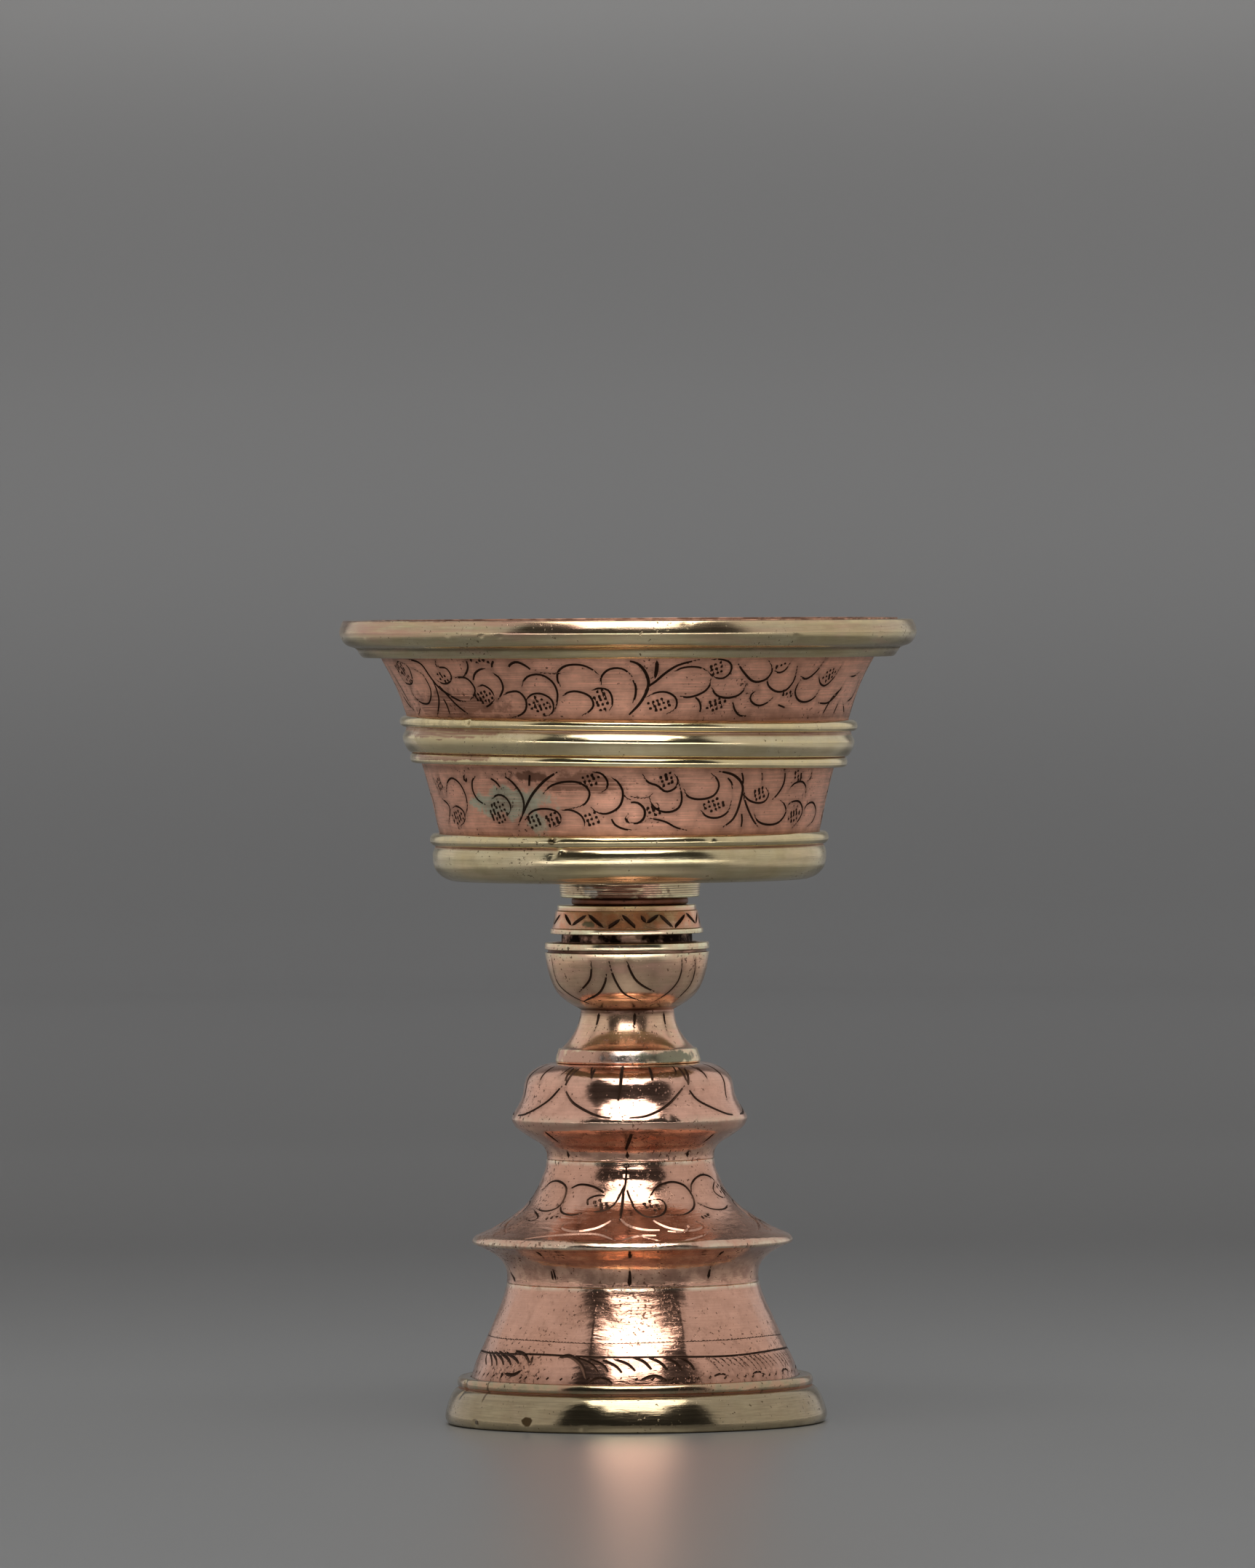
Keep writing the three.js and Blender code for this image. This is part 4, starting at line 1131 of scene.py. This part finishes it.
def ring_piece():
    inner = beside(SKIRT, (6.2, 4.2, 2.4, 0.65))
    section = Section([
        [(21.62, 0.02), (24.5, 0.02)],
        ([(24.75, 0.3), (24.93, 0.7), (24.95, 1.2), (24.83, 1.8), (24.63, 2.5), (24.38, 3.2), (24.04, 3.9),
          (23.55, 4.5), (22.95, 4.85)], 0.10),
        ([(23.2, 5.05), (23.25, 5.5), (23.12, 5.95), (22.85, 6.22)], 0.15),
        inner[:1], inner[1:], [(21.62, 0.6)],
    ], 0.2)
    move = both(lean, hand_made(3, 0.04, (2, 3, 5, 9)), dents(
        (-34, 1.5, 0.8, 0.7, 0.18), (-72, 4.9, 0.5, 1.0, 0.3), (-57, 0.9, 0.4, 0.5, 0.12),
        (-15, 0.5, 0.3, 0.35, 0.12), (38, 5.6, 0.7, 0.4, 0.12), (63, 2.2, 0.6, 0.5, 0.10)))
    turned("ring_moulding", "foot_ring", "base", brass_ring, section, move=move, segments=320)


def feathers(zone):
    """Fans of curved cuts that hang from the lower of the two lines round the skirt."""
    draw(zone, FOOT_VIEW, SKIRT_FANS, 1.9, 0.16)
    # The fans beyond the window go on round the skirt in the same rhythm
    radius = zone.radius(zone.at_height(8.6))
    for start in (0.48, 0.78, 1.10, 1.42):
        for k in range(6):
            for turn in TWICE:
                a = start + k * 0.048 + turn
                zone.cut([a, a + 1.2 / radius, a + 1.9 / radius], (9.5, 8.5, 7.3 + 0.10 * k), 0.22, 0.11)
        for turn in TWICE:
            a = start + turn
            zone.cut([a + 0.02, a + 0.09, a + 0.16], (6.9, 7.3, 6.8), 0.30, 0.12)
    ticks = 78
    for k in range(ticks):
        a = TURN * k / ticks + rng.uniform(-0.02, 0.02)
        zone.cut([a, a + 0.045], (6.4, 6.4 + rng.uniform(0.7, 1.1)), 0.27, 0.12)


def skirt_piece():
    inner = offset(SKIRT, 0.9, 8)[::-1]
    section = Section([SKIRT, ([(14.4, 18.4)], 0.1), ([(14.4, 17.55)], 0.2), [(inner[0][0], 17.5)], inner[1:],
                       [SKIRT[0]]], 0.15)
    zone = Zone(section, on_curve(SKIRT, 5.6), on_curve(SKIRT, 12.2))
    angles = np.linspace(-math.pi, math.pi, 121)
    for height, wave, width in ((11.5, 0.10, 0.22), (9.65, 0.12, 0.30), (9.45, 0.20, 0.15)):
        heights = height + wave * np.sin(3 * angles + height) + 0.5 * wave * np.sin(7 * angles)
        zone.cut(angles, heights, width, 0.12, "ring")
    feathers(zone)
    facets = random.Random(5)
    edges = np.cumsum([facets.uniform(0.24, 0.42) for _ in range(19)])
    edges = np.concatenate([[0], edges / edges[-1] * TURN])

    def planished(angle, r, z):
        """Soft upright flats, as left when the cone was beaten and scraped."""
        turn = np.mod(angle, TURN)
        k = np.clip(np.searchsorted(edges, turn), 1, len(edges) - 1)
        share = (turn - edges[k - 1]) / (edges[k] - edges[k - 1])
        return outwards(-0.085 * 4 * share * (1 - share) * np.exp(-((z - 12.5) / 4.2) ** 4))

    move = both(lean, planished, hand_made(8, 0.05, (2, 4, 7, 11), 5.0),
                hand_made(21, 0.02, (17, 23, 31), 2.5))
    turned("skirt_cone", "foot_skirt", "base", copper_foot, section, [zone], move, 1.0,
           inner=(section.near(14.4, 18.0), section.s[-1] - 0.3))


def flare_piece():
    under = [(16.5, 18.4), (16.42, 19.3), (16.75, 20.7), (17.95, 22.05), (19.6, 23.0), (20.35, 23.3)]
    lip = [(20.74, 23.45), (20.95, 23.72), (20.86, 24.08), (20.58, 24.45), (20.2, 24.68)]
    over = [(19.7, 24.86), (18.7, 25.25), (17.2, 26.1), (15.3, 27.3), (13.6, 28.75), (12.4, 30.4),
            (11.6, 32.1), (11.15, 33.4), (10.97, 34.5)]
    wall = offset(over, 0.9, 9)[::-1]
    wall_under = offset(under, 0.9, 6)[::-1]
    section = Section([under + lip + over, ([(8.9, 34.5)], 0.1), ([(8.9, 33.6)], 0.15), [(wall[0][0], 33.6)],
                       ([*wall[1:-1], (18.9, 24.15)], 0.2), wall_under[1:-1], [(15.55, 18.4)]])
    top = Zone(section, (20.3, 24.57), (11.0, 34.3))
    draw(top, MIDDLE_VIEW, TRUMPET, 1.35)
    buds(top, MIDDLE_VIEW, TRUMPET_BUDS, 0.46)
    # Two of the flange's curves come again, mirrored about a line in the window
    mirror_x = 1061
    mirrored = [(width, *(2 * mirror_x - v if i % 2 == 0 else v for i, v in enumerate(xy)))
                for width, *xy in FLANGE_TOP[2:4]]
    draw(top, FOOT_VIEW, FLANGE_TOP + mirrored, 2.2, 0.20, "fine")
    for side in SIDES:
        scroll_between(top, side, 25.4, 31.5)
    below = Zone(section, (16.5, 18.6), (19.9, 23.12))
    draw(below, FOOT_VIEW, FLARE_UNDER + FLARE_SEAM, 1.1, 0.16, "dart")
    for side in SIDES:
        for heights in ((21.4, 22.2, 22.9), (21.0, 20.0, 18.75)):
            below.cut([side, side + 0.01, side + 0.02], heights, 0.5, 0.16, "dart")

    def ripples(angle, r, z):
        """Turned lines near the top of the trumpet."""
        there = np.clip((z - 31.3) / 0.4, 0, 1) * np.clip((34.2 - z) / 0.3, 0, 1) * (r > 10.0)
        return outwards(0.030 * there * np.sin(TURN * z / 0.85))

    move = both(lean, ripples, hand_made(31, 0.06, (2, 3, 5, 7)), dents(
        (-26, 24.2, 0.5, 0.3, 0.10), (40, 24.0, 0.6, 0.4, 0.08), (-60, 24.2, 1.4, 0.8, 0.10)))
    turned("flare_trumpet", "foot_flare", "base", copper_foot, section, [top, below], move, 1.0,
           inner=(section.near(8.9, 34.0), section.near(15.6, 18.6)))


def lotus_piece():
    under = [(10.97, 34.5), (10.98, 35.4), (11.6, 36.4), (13.1, 37.35), (14.75, 38.5), (15.2, 39.15)]
    lip = [(15.38, 39.6), (15.38, 39.95), (15.2, 40.4)]
    over = [(14.8, 41.0), (14.2, 42.0), (13.85, 42.8), (13.68, 43.8), (13.5, 44.8), (12.95, 45.7),
            (12.0, 46.4), (11.1, 46.8), (10.23, 47.0)]
    wall = offset(over, 0.9, 8)[::-1]
    wall_under = offset(under, 0.9, 6)[::-1]
    section = Section([under + lip + over, ([(3.15, 47.03)], 0.1), ([(3.15, 46.15)], 0.1), [(9.9, 46.15)],
                       ([*wall[2:-1], (14.2, 39.75)], 0.2), wall_under[1:-1], [(10.05, 34.5)]])
    petals = Zone(section, (15.25, 40.3), (10.3, 46.98))
    turns = [TURN * k / 5 for k in range(5)]
    draw(petals, MIDDLE_VIEW, LOTUS_FRONT, turns=turns)
    for turn in turns:
        a = turn + math.pi / 5
        for shift, reach in ((-0.10, 45.6), (0.16, 45.3)):
            petals.cut([a + shift, a + shift * 1.2, a + shift * 1.5], (46.9, 46.4, reach), 0.26, 0.10)
    below = Zone(section, (11.0, 34.7), (14.9, 38.75))
    draw(below, MIDDLE_VIEW, LOTUS_UNDER, 1.1)
    for k in range(8):
        below.cut([k * math.pi / 4 - 0.05] * 3, (35.9, 35.5, 34.9), 0.62, 0.14, "dart")
    move = both(lean, hand_made(41, 0.05, (2, 3, 5, 7)), dents((20, 40.2, 0.7, 0.4, 0.08)))
    turned("lotus_dome", "foot_lotus", "base", copper_lotus, section, [petals, below], move, 0.8,
           inner=(section.near(3.2, 46.5), section.near(10.1, 34.7)))


THREAD_PITCH = 1.5
THREAD_START = 61.2


def thread(root, half_base, half_crest, low, high, depth=0.7):
    """The ridge or groove of the screw, as a further radius at each angle and height."""
    def form(angle, r, z):
        phase = (z - THREAD_START) / THREAD_PITCH - (angle - math.pi / 2) / TURN
        apart = np.abs(phase - np.round(phase)) * THREAD_PITCH
        rise = np.clip((half_base - apart) / (half_base - half_crest), 0, 1) * depth
        ends = np.clip((z - low) / 0.35, 0, 1) * np.clip((high - z) / 0.35, 0, 1)
        there = (r > root - 0.02) & (r < root + depth + 0.05) & (z > low) & (z < high)
        return np.where(there, np.maximum(root + rise * ends - r, 0.0), 0.0)
    return form


def stem_piece():
    bore = 3.45
    section = Section([
        [(0.0, 41.97), (2.5, 41.97)], ([(2.78, 42.25)], 0.05), [(2.78, 47.0)],
        ([(9.3, 47.05)], 0.1), [(9.47, 47.2), (9.46, 47.6), (9.12, 48.75)],
        ([(9.0, 48.93)], 0.08),
        ([(8.6, 49.05), (7.75, 49.9), (7.1, 50.8), (6.55, 51.9), (6.2, 53.0), (6.06, 54.0)], 0.06),
        [(6.75, 54.4), (7.9, 55.05), (9.2, 56.3), (9.95, 57.75), (10.45, 59.5), (10.72, 61.2)],
        ([(10.74, 61.48)], 0.05), [(10.34, 61.5)], [(10.34, 61.9)], [(10.74, 61.9)],
        ([(10.76, 62.35), (10.7, 62.78)], 0.12), [(8.58, 62.82)], [(8.52, 63.95)],
        ([(10.0, 63.97)], 0.08), ([(10.0, 64.6)], 0.08), ([(9.75, 64.66)], 0.06), [(9.3, 66.95)],
        ([(9.12, 66.98)], 0.06), ([(9.05, 67.68)], 0.1), [(3.75, 67.7)],
        ([(bore, 67.4)], 0.04), [(bore, 60.25)], [(0.0, 60.2)],
    ], 0.1, closed=False)
    zigzag = Zone(section, (9.7, 64.75), (9.34, 66.85))
    draw(zigzag, STEM_VIEW, ZIGZAG, 1.5, 0.22)
    for side in SIDES:
        zigzag.cut([side - 0.19, side - 0.01], (64.9, 66.7), 0.32, 0.2)
        zigzag.cut([side + 0.01, side + 0.19], (66.7, 64.9), 0.32, 0.2)
    bulb = Zone(section, (6.9, 54.5), (10.7, 61.1))
    draw(bulb, STEM_VIEW, BULB_PETALS, 1.25)
    for side in SIDES:
        for sign in (-1, 1):
            bulb.cut([side + sign * a for a in (0.05, 0.08, 0.2, 0.42)], (60.9, 58.8, 57.2, 56.0), 0.24, 0.11)
    waist = Zone(section, (8.5, 49.15), (6.08, 53.8))
    for k in range(8):
        a = TURN * (k + 0.09) / 8 + rng.uniform(-0.04, 0.04)
        waist.cut([a - 0.03, a, a + 0.02], (50.5, 52.0, 53.75), 0.42, 0.14, "dart")
    outside = both(lean, hand_made(51, 0.02, (2, 3, 4)))

    def move(angle, r, z):
        """The bore stays true under the uneven outside."""
        out, up = outside(angle, r, z)
        return out * np.clip((r - 3.5) / 2, 0, 1), up
    turned("stem_spindle", "stem", "base", stem_metal, section, [waist, bulb, zigzag], move,
           0.8, ridge=thread(bore, 0.65, 0.35, 60.9, 68.0),
           dense=(section.near(4.3, 67.7), section.near(bore, 60.3), 0.14))


def washer_piece():
    section = Section([[(3.35, 67.73), (7.45, 67.73)], ([(7.62, 67.95), (7.62, 68.4)], 0.1),
                       ([(7.45, 68.62)], 0.1), [(3.35, 68.62)]])
    turned("seat_disc", "seat_washer", "washer", dark_copper_and_shade, section,
           move=hand_made(61, 0.02, (2, 3, 5)), segments=160)


def tang_washer_piece():
    section = Section([[(3.15, 45.38), (5.9, 45.38)], [(5.98, 46.12)], [(3.15, 46.12)]], 0.15)
    turned("tang_disc", "tang_washer", "base", brass_plain, section, segments=96)


def nut_piece():
    """A six-sided nut with its corners turned off, round the tang."""
    bottom, top, corner, chamfer = 42.77, 45.33, 4.66, 0.45
    sixth = TURN / 6

    def six(angle, r, z):
        sector = np.mod(angle - math.pi / 2 + sixth / 2, sixth) - sixth / 2
        flat = corner * math.cos(sixth / 2) / np.cos(sector)
        edge = corner - 0.5 * np.clip((chamfer - np.minimum(z - bottom, top - z)) / chamfer, 0, 1)
        return np.where(r > 4.0, np.minimum(np.minimum(flat, edge) - r, 0.0), 0.0)
    section = Section([[(3.15, bottom), (4.05, bottom)], [(corner, 42.78)], [(corner, 45.32)], [(4.05, top)],
                       [(3.15, top)]], 0.06)
    turned("tang_hexagon", "tang_nut", "base", brass_plain, section, segments=192, ridge=six,
           dense=(0.0, float(section.s[-1]), 0.3))


# The bowl body: spigot, pan, shell, the two bands and the wick holder

def spigot_piece():
    fine = []
    for k in range(6):
        z = 68.95 + 0.30 * k
        r = 9.1 + 0.25 * (z - 68.65) / 2.2
        fine += [(r - 0.06, z), (r, z + 0.14)]
    section = Section([
        [(0.0, 60.72), (2.95, 60.72)], ([(3.2, 60.97)], 0.05), [(3.2, 67.2)], ([(3.0, 67.22)], 0.04),
        [(3.0, 68.66)], ([(9.0, 68.67)], 0.08), ([(9.1, 68.85)], 0.02), *[([q], 0.03) for q in fine],
        ([(9.33, 70.83)], 0.05), ([(3.0, 70.84)], 0.05), ([(3.0, 73.95)], 0.08), [(2.9, 74.03)],
        [(0.0, 74.04)],
    ], 0.08, closed=False)
    move = dents((-38, 70.3, 1.2, 0.5, -0.10), (-24, 70.2, 0.8, 0.4, -0.12), (-60, 69.9, 0.7, 0.6, 0.08))
    turned("spigot_screw", "bowl_spigot", "bowl", collar_metal, section, move=move,
           ridge=thread(3.2, 0.45, 0.15, 61.25, 67.15),
           dense=(section.near(3.2, 61.0), section.near(3.2, 67.15), 0.12))


def pan_piece():
    inner = beside(BOWL, (77.1, 76.0, 74.9))
    heel = [(r + 0.05 * i, z - 0.05) for i, (r, z) in enumerate(reversed(BOWL_HEEL[1:-1]))]
    section = Section([
        ([(3.35, 70.87), (22.4, 70.87)], 0.25),
        ([(23.45, 71.02), (24.5, 71.5), (25.3, 72.3), (25.62, 73.1), (25.71, 74.1), (25.62, 74.9),
          (25.38, 75.35)], 0.06),
        ([(25.28, 75.5)], 0.05),
        ([(25.62, 75.62), (25.98, 76.0), (26.05, 76.38), (25.95, 76.8), (25.6, 77.15)], 0.1),
        inner[:1], inner[1:], heel, [(21.7, 71.98)], [(3.35, 71.98)],
    ], 0.15)
    move = both(hand_made(71, 0.045, (2, 3, 5, 8)), dents(
        (-20.5, 75.35, 0.45, 0.35, -0.26), (-21.5, 76.8, 0.35, 0.35, 0.12), (-23, 74.5, 0.5, 0.3, 0.08),
        (24, 76.4, 0.5, 0.4, 0.06), (-45, 73.4, 0.3, 0.3, 0.08)))
    turned("pan_moulding", "bowl_pan", "bowl", brass_pan, section, move=move, segments=320)


def shell_piece():
    outer = BOWL_HEEL[:-1] + BOWL[:-1]
    inner = offset(outer + BOWL[-1:], 1.0, 16)[::-1]
    section = Section([
        [(5.12, 72.06), (21.6, 72.06)], outer[1:] + [(35.2, 104.6)], ([(35.25, 104.97)], 0.12),
        ([(34.45, 104.98)], 0.2), inner[1:-1], [(21.4, 73.05)], [(5.12, 73.05)],
    ])
    lower = Zone(section, on_curve(BOWL, 76.9), on_curve(BOWL, 86.2))
    upper = Zone(section, on_curve(BOWL, 91.9), on_curve(BOWL, 100.4))
    for zone, left, left_buds, right, right_buds in (
            (upper, UPPER_WALL_LEFT, UPPER_WALL_LEFT_BUDS, UPPER_WALL_RIGHT, UPPER_WALL_RIGHT_BUDS),
            (lower, LOWER_WALL_LEFT, LOWER_WALL_LEFT_BUDS, LOWER_WALL_RIGHT, LOWER_WALL_RIGHT_BUDS)):
        draw(zone, BOWL_LEFT, left)
        draw(zone, BOWL_RIGHT, right)
        buds(zone, BOWL_LEFT, left_buds)
        buds(zone, BOWL_RIGHT, right_buds)
    for side in SIDES:
        scroll_between(upper, side, 92.4, 99.9)
        scroll_between(lower, side, 77.4, 85.7)
    turned("bowl_wall", "bowl_shell", "bowl", copper_bowl, section, [lower, upper],
           hand_made(81, 0.03, (2, 3, 5)), 1.0, inner=(section.near(34.4, 105.0), section.near(5.2, 73.05)))


def waist_band_piece():
    inner = beside(BOWL, (92.1, 90.0, 88.0, 86.0))
    section = Section([
        ([(27.0, 85.9), (27.85, 85.92)], 0.15),
        ([(28.3, 86.05), (28.5, 86.4), (28.5, 86.85), (28.32, 87.2), (28.05, 87.32)], 0.05),
        ([(28.6, 87.42), (29.05, 88.0), (29.38, 88.7), (29.5, 89.25), (29.44, 89.55), (29.26, 89.95),
          (29.0, 90.42)], 0.05),
        ([(29.05, 90.62)], 0.04),
        ([(29.5, 90.7), (29.82, 90.95), (29.92, 91.35), (29.78, 91.8), (29.35, 92.12)], 0.1),
        inner[:1], inner[1:],
    ])
    move = both(hand_made(91, 0.05), tilt(-0.0170), dents(
        (-44, 91.5, 0.35, 0.45, 0.4), (-62, 90.6, 3.5, 0.35, -0.14), (-50, 90.6, 2.5, 0.3, -0.12),
        (-66, 87.1, 2.6, 0.2, -0.1), (-56, 91.7, 4.0, 0.5, -0.05), (30, 91.7, 0.5, 0.3, 0.06),
        (52, 90.6, 1.5, 0.3, -0.08)))
    turned("waist_moulding", "waist_band", "bowl", brass_waist, section, move=move, segments=320)


def rim_piece():
    inner = beside(BOWL, (104.88, 103.0, 101.5, 100.1))
    section = Section([
        [(32.4, 100.03), (34.6, 100.03)],
        ([(34.95, 100.35), (35.24, 100.78), (35.42, 101.12)], 0.08),
        ([(35.62, 101.27)], 0.10),
        ([(36.5, 101.55), (37.05, 101.92), (37.45, 102.5), (37.66, 102.95), (37.74, 103.3)], 0.12),
        ([(37.62, 103.9), (37.4, 104.5), (37.24, 104.84)], 0.1),
        [(37.1, 104.90), (inner[0][0], 104.90)], inner[1:],
    ], 0.15)
    move = both(hand_made(101, 0.03, (2, 3, 5, 8, 12)), tilt(-0.0035), dents(
        (-26, 102.85, 0.5, 0.35, 0.14), (-30, 103.0, 0.3, 0.3, 0.12), (-38, 103.3, 0.15, 0.6, 0.10),
        (35, 102.8, 0.5, 0.4, 0.1), (60, 103.2, 0.4, 0.4, 0.1), (12, 104.7, 0.7, 0.3, 0.07),
        (-65, 103.2, 0.3, 0.5, 0.1)))
    turned("rim_moulding", "rim_band", "bowl", brass_rim, section, move=move, segments=360)


def wick_holder_piece():
    section = Section([
        ([(3.33, 72.08), (4.75, 72.08)], 0.1), ([(4.78, 73.6)], 0.2),
        ([(4.3, 74.1), (3.3, 74.9), (2.4, 75.7), (1.92, 76.4)], 0.15), ([(1.75, 76.62)], 0.1),
        ([(0.95, 76.62)], 0.1), ([(0.82, 76.45)], 0.05), [(0.82, 74.7)], [(3.33, 74.68)],
    ])
    turned("wick_tube", "wick_holder", "bowl", brass_plain, section,
           move=hand_made(111, 0.02, (2, 3)), segments=128)


# The order of the pieces is the order of their random draws
for make in (ring_piece, skirt_piece, flare_piece, lotus_piece, stem_piece, washer_piece, tang_washer_piece,
             nut_piece, spigot_piece, pan_piece, shell_piece, waist_band_piece, rim_piece, wick_holder_piece):
    make()


# Studio, in metres and watts

# The tent's level all round, and in its dark opening
TENT_LEVEL = 0.56
TENT_DARK = 0.03
# The panel's power for a square metre
PANEL_POWER = 14.2
FILL_POWER = 5.4
# Where the sheet turns white in front, and paler at the sides
FRONT_PAPER = -0.27
SIDE_PAPER = 0.18


def studio_floor():
    """A sheet that lies flat under the lamp and sweeps up behind it, grey there and white in front."""
    half, half_upright, back, bend, top = 2.2, 0.85, 1.75, 0.35, 1.3
    rows = [(-1.5, 0.0), (-0.6, 0.0), (0.6, 0.0), (back, 0.0)]
    rows += [(back + bend * math.sin(a), bend - bend * math.cos(a))
             for a in np.linspace(0.1, math.pi / 2, 14)]
    rows += [(back + bend, top)]
    across = np.linspace(-1, 1, 9)
    verts = [(x * (half if z == 0 else half_upright), y, z) for y, z in rows for x in across]
    wide = len(across)
    faces = [(i * wide + k, i * wide + k + 1, (i + 1) * wide + k + 1, (i + 1) * wide + k)
             for i in range(len(rows) - 1) for k in range(wide - 1)]
    mesh = bpy.data.meshes.new("studio_sweep")
    mesh.from_pydata(verts, [], faces)
    mesh.polygons.foreach_set("use_smooth", np.ones(len(faces), bool))
    material = bpy.data.materials.new("pale_paper")
    n = Nodes(material)
    here = n.out("TexCoord", "Object")
    x, y, z = n.split(here)
    tone = n.mix(n.noise(here, 14.0, 3.0), (0.158, 0.162, 0.165, 1), (0.166, 0.170, 0.173, 1))
    # Where the sheet turns from one grey to the next: start, end, grey and its blue. The dark band just
    # behind the lamp is painted shadow, and the lighter greys further back and up the sweep are painted light
    for place, start, end, grey, blue in (
            (y, 0.10, 0.45, 0.056, 0.058), (y, 0.48, 0.78, 0.108, 0.110), (y, 0.9, 1.8, 0.278, 0.282),
            (z, 0.02, 0.16, 0.425, 0.430), (n.math("ABSOLUTE", x), SIDE_PAPER, SIDE_PAPER + 0.10, 0.50, 0.50),
            (y, FRONT_PAPER, FRONT_PAPER - 0.08, 0.82, 0.82)):
        tone = n.mix(n.between(place, start, end), tone, (grey, grey, blue, 1))
    n.surface("BsdfPrincipled", "Material", {
        "Base Color": tone, "Roughness": 0.36, "Specular IOR Level": 0.42, "Coat Weight": 0.7,
        "Coat Roughness": 0.36})
    mesh.materials.append(material)
    put_in_scene("studio_sweep", mesh)


def studio_world():
    """A white tent, dimmer behind the lamp, with a dark opening towards the camera that the metal mirrors."""
    world = bpy.data.worlds.new("tent")
    bpy.context.scene.world = world
    n = Nodes(world)
    x, y, z = n.split(n.out("TexCoord", "Generated"))
    azimuth = n.math("ARCTAN2", n.math("ABSOLUTE", x), y * -1.0)
    sideways = n.between(azimuth, math.radians(48), math.radians(52))
    behind = n.between(azimuth, math.radians(150), math.radians(158), 1.0, 0.22)
    upwards = n.between(z, math.sin(math.radians(62)), math.sin(math.radians(72)))
    level = n.between(n.math("MAXIMUM", sideways, upwards), 0.0, 1.0, TENT_DARK, TENT_LEVEL) * behind
    colour = n.mix(n.between(z, -0.2, 1.0), (1.0, 0.985, 0.965, 1), (1.0, 1.0, 1.0, 1))
    n.surface("Background", "World", {"Color": colour, "Strength": level})


def area_lamp(name, wide, long, power, location, rotation, colour=(1, 1, 1)):
    data = bpy.data.lights.new(name, "AREA")
    data.shape = "RECTANGLE"
    data.size = wide
    data.size_y = long
    data.energy = power
    data.color = colour
    put_in_scene(name, data, location, rotation)


def panel_lamp(name, wide, low, high):
    """A part of the bright panel over the camera, from low to high along its slope."""
    target = Vector((0, 0, 0.06))
    lift = math.radians(56)
    up = Vector((0, math.sin(lift), math.cos(lift)))
    centre = target + Vector((0, -math.cos(lift), math.sin(lift))) * 1.5
    rotation = (target - centre).to_track_quat("-Z", "Y").to_euler()
    area_lamp(name, wide, high - low, PANEL_POWER * wide * (high - low), centre + up * (low + high) / 2,
              rotation, (1.0, 0.985, 0.96))


def photo_camera():
    data = bpy.data.cameras.new("photo_camera")
    data.sensor_fit = "VERTICAL"
    data.sensor_height = 36.0
    data.lens = PHOTO_SCALE * EYE_DISTANCE * data.sensor_height / IMAGE_SIZE[1]
    eye_row = PHOTO_FLOOR_Y - PHOTO_SCALE * EYE_HEIGHT
    pitch = math.atan2(IMAGE_SIZE[1] / 2 - eye_row, PHOTO_SCALE * EYE_DISTANCE)
    yaw = math.atan2((AXIS_X - IMAGE_SIZE[0] / 2) / PHOTO_SCALE, EYE_DISTANCE)
    rotation = Euler((math.pi / 2 - pitch, math.radians(CAMERA_ROLL), yaw), "XYZ")
    place = (0, -EYE_DISTANCE * MM, EYE_HEIGHT * MM)
    bpy.context.scene.camera = put_in_scene("photo_camera", data, place, rotation)


studio_floor()
studio_world()
panel_lamp("panel_low", 0.93, -0.6, -0.12)
panel_lamp("panel_high", 1.25, -0.12, 0.6)
# A soft lamp that lies on the white part of the sheet and lights what faces down
area_lamp("low_fill", 1.2, 0.55, FILL_POWER, (0, FRONT_PAPER - 0.33, 0.012), Euler((math.pi, 0, 0)))
photo_camera()
bpy.context.scene.view_settings.view_transform = "Standard"

bpy.context.view_layer.update()
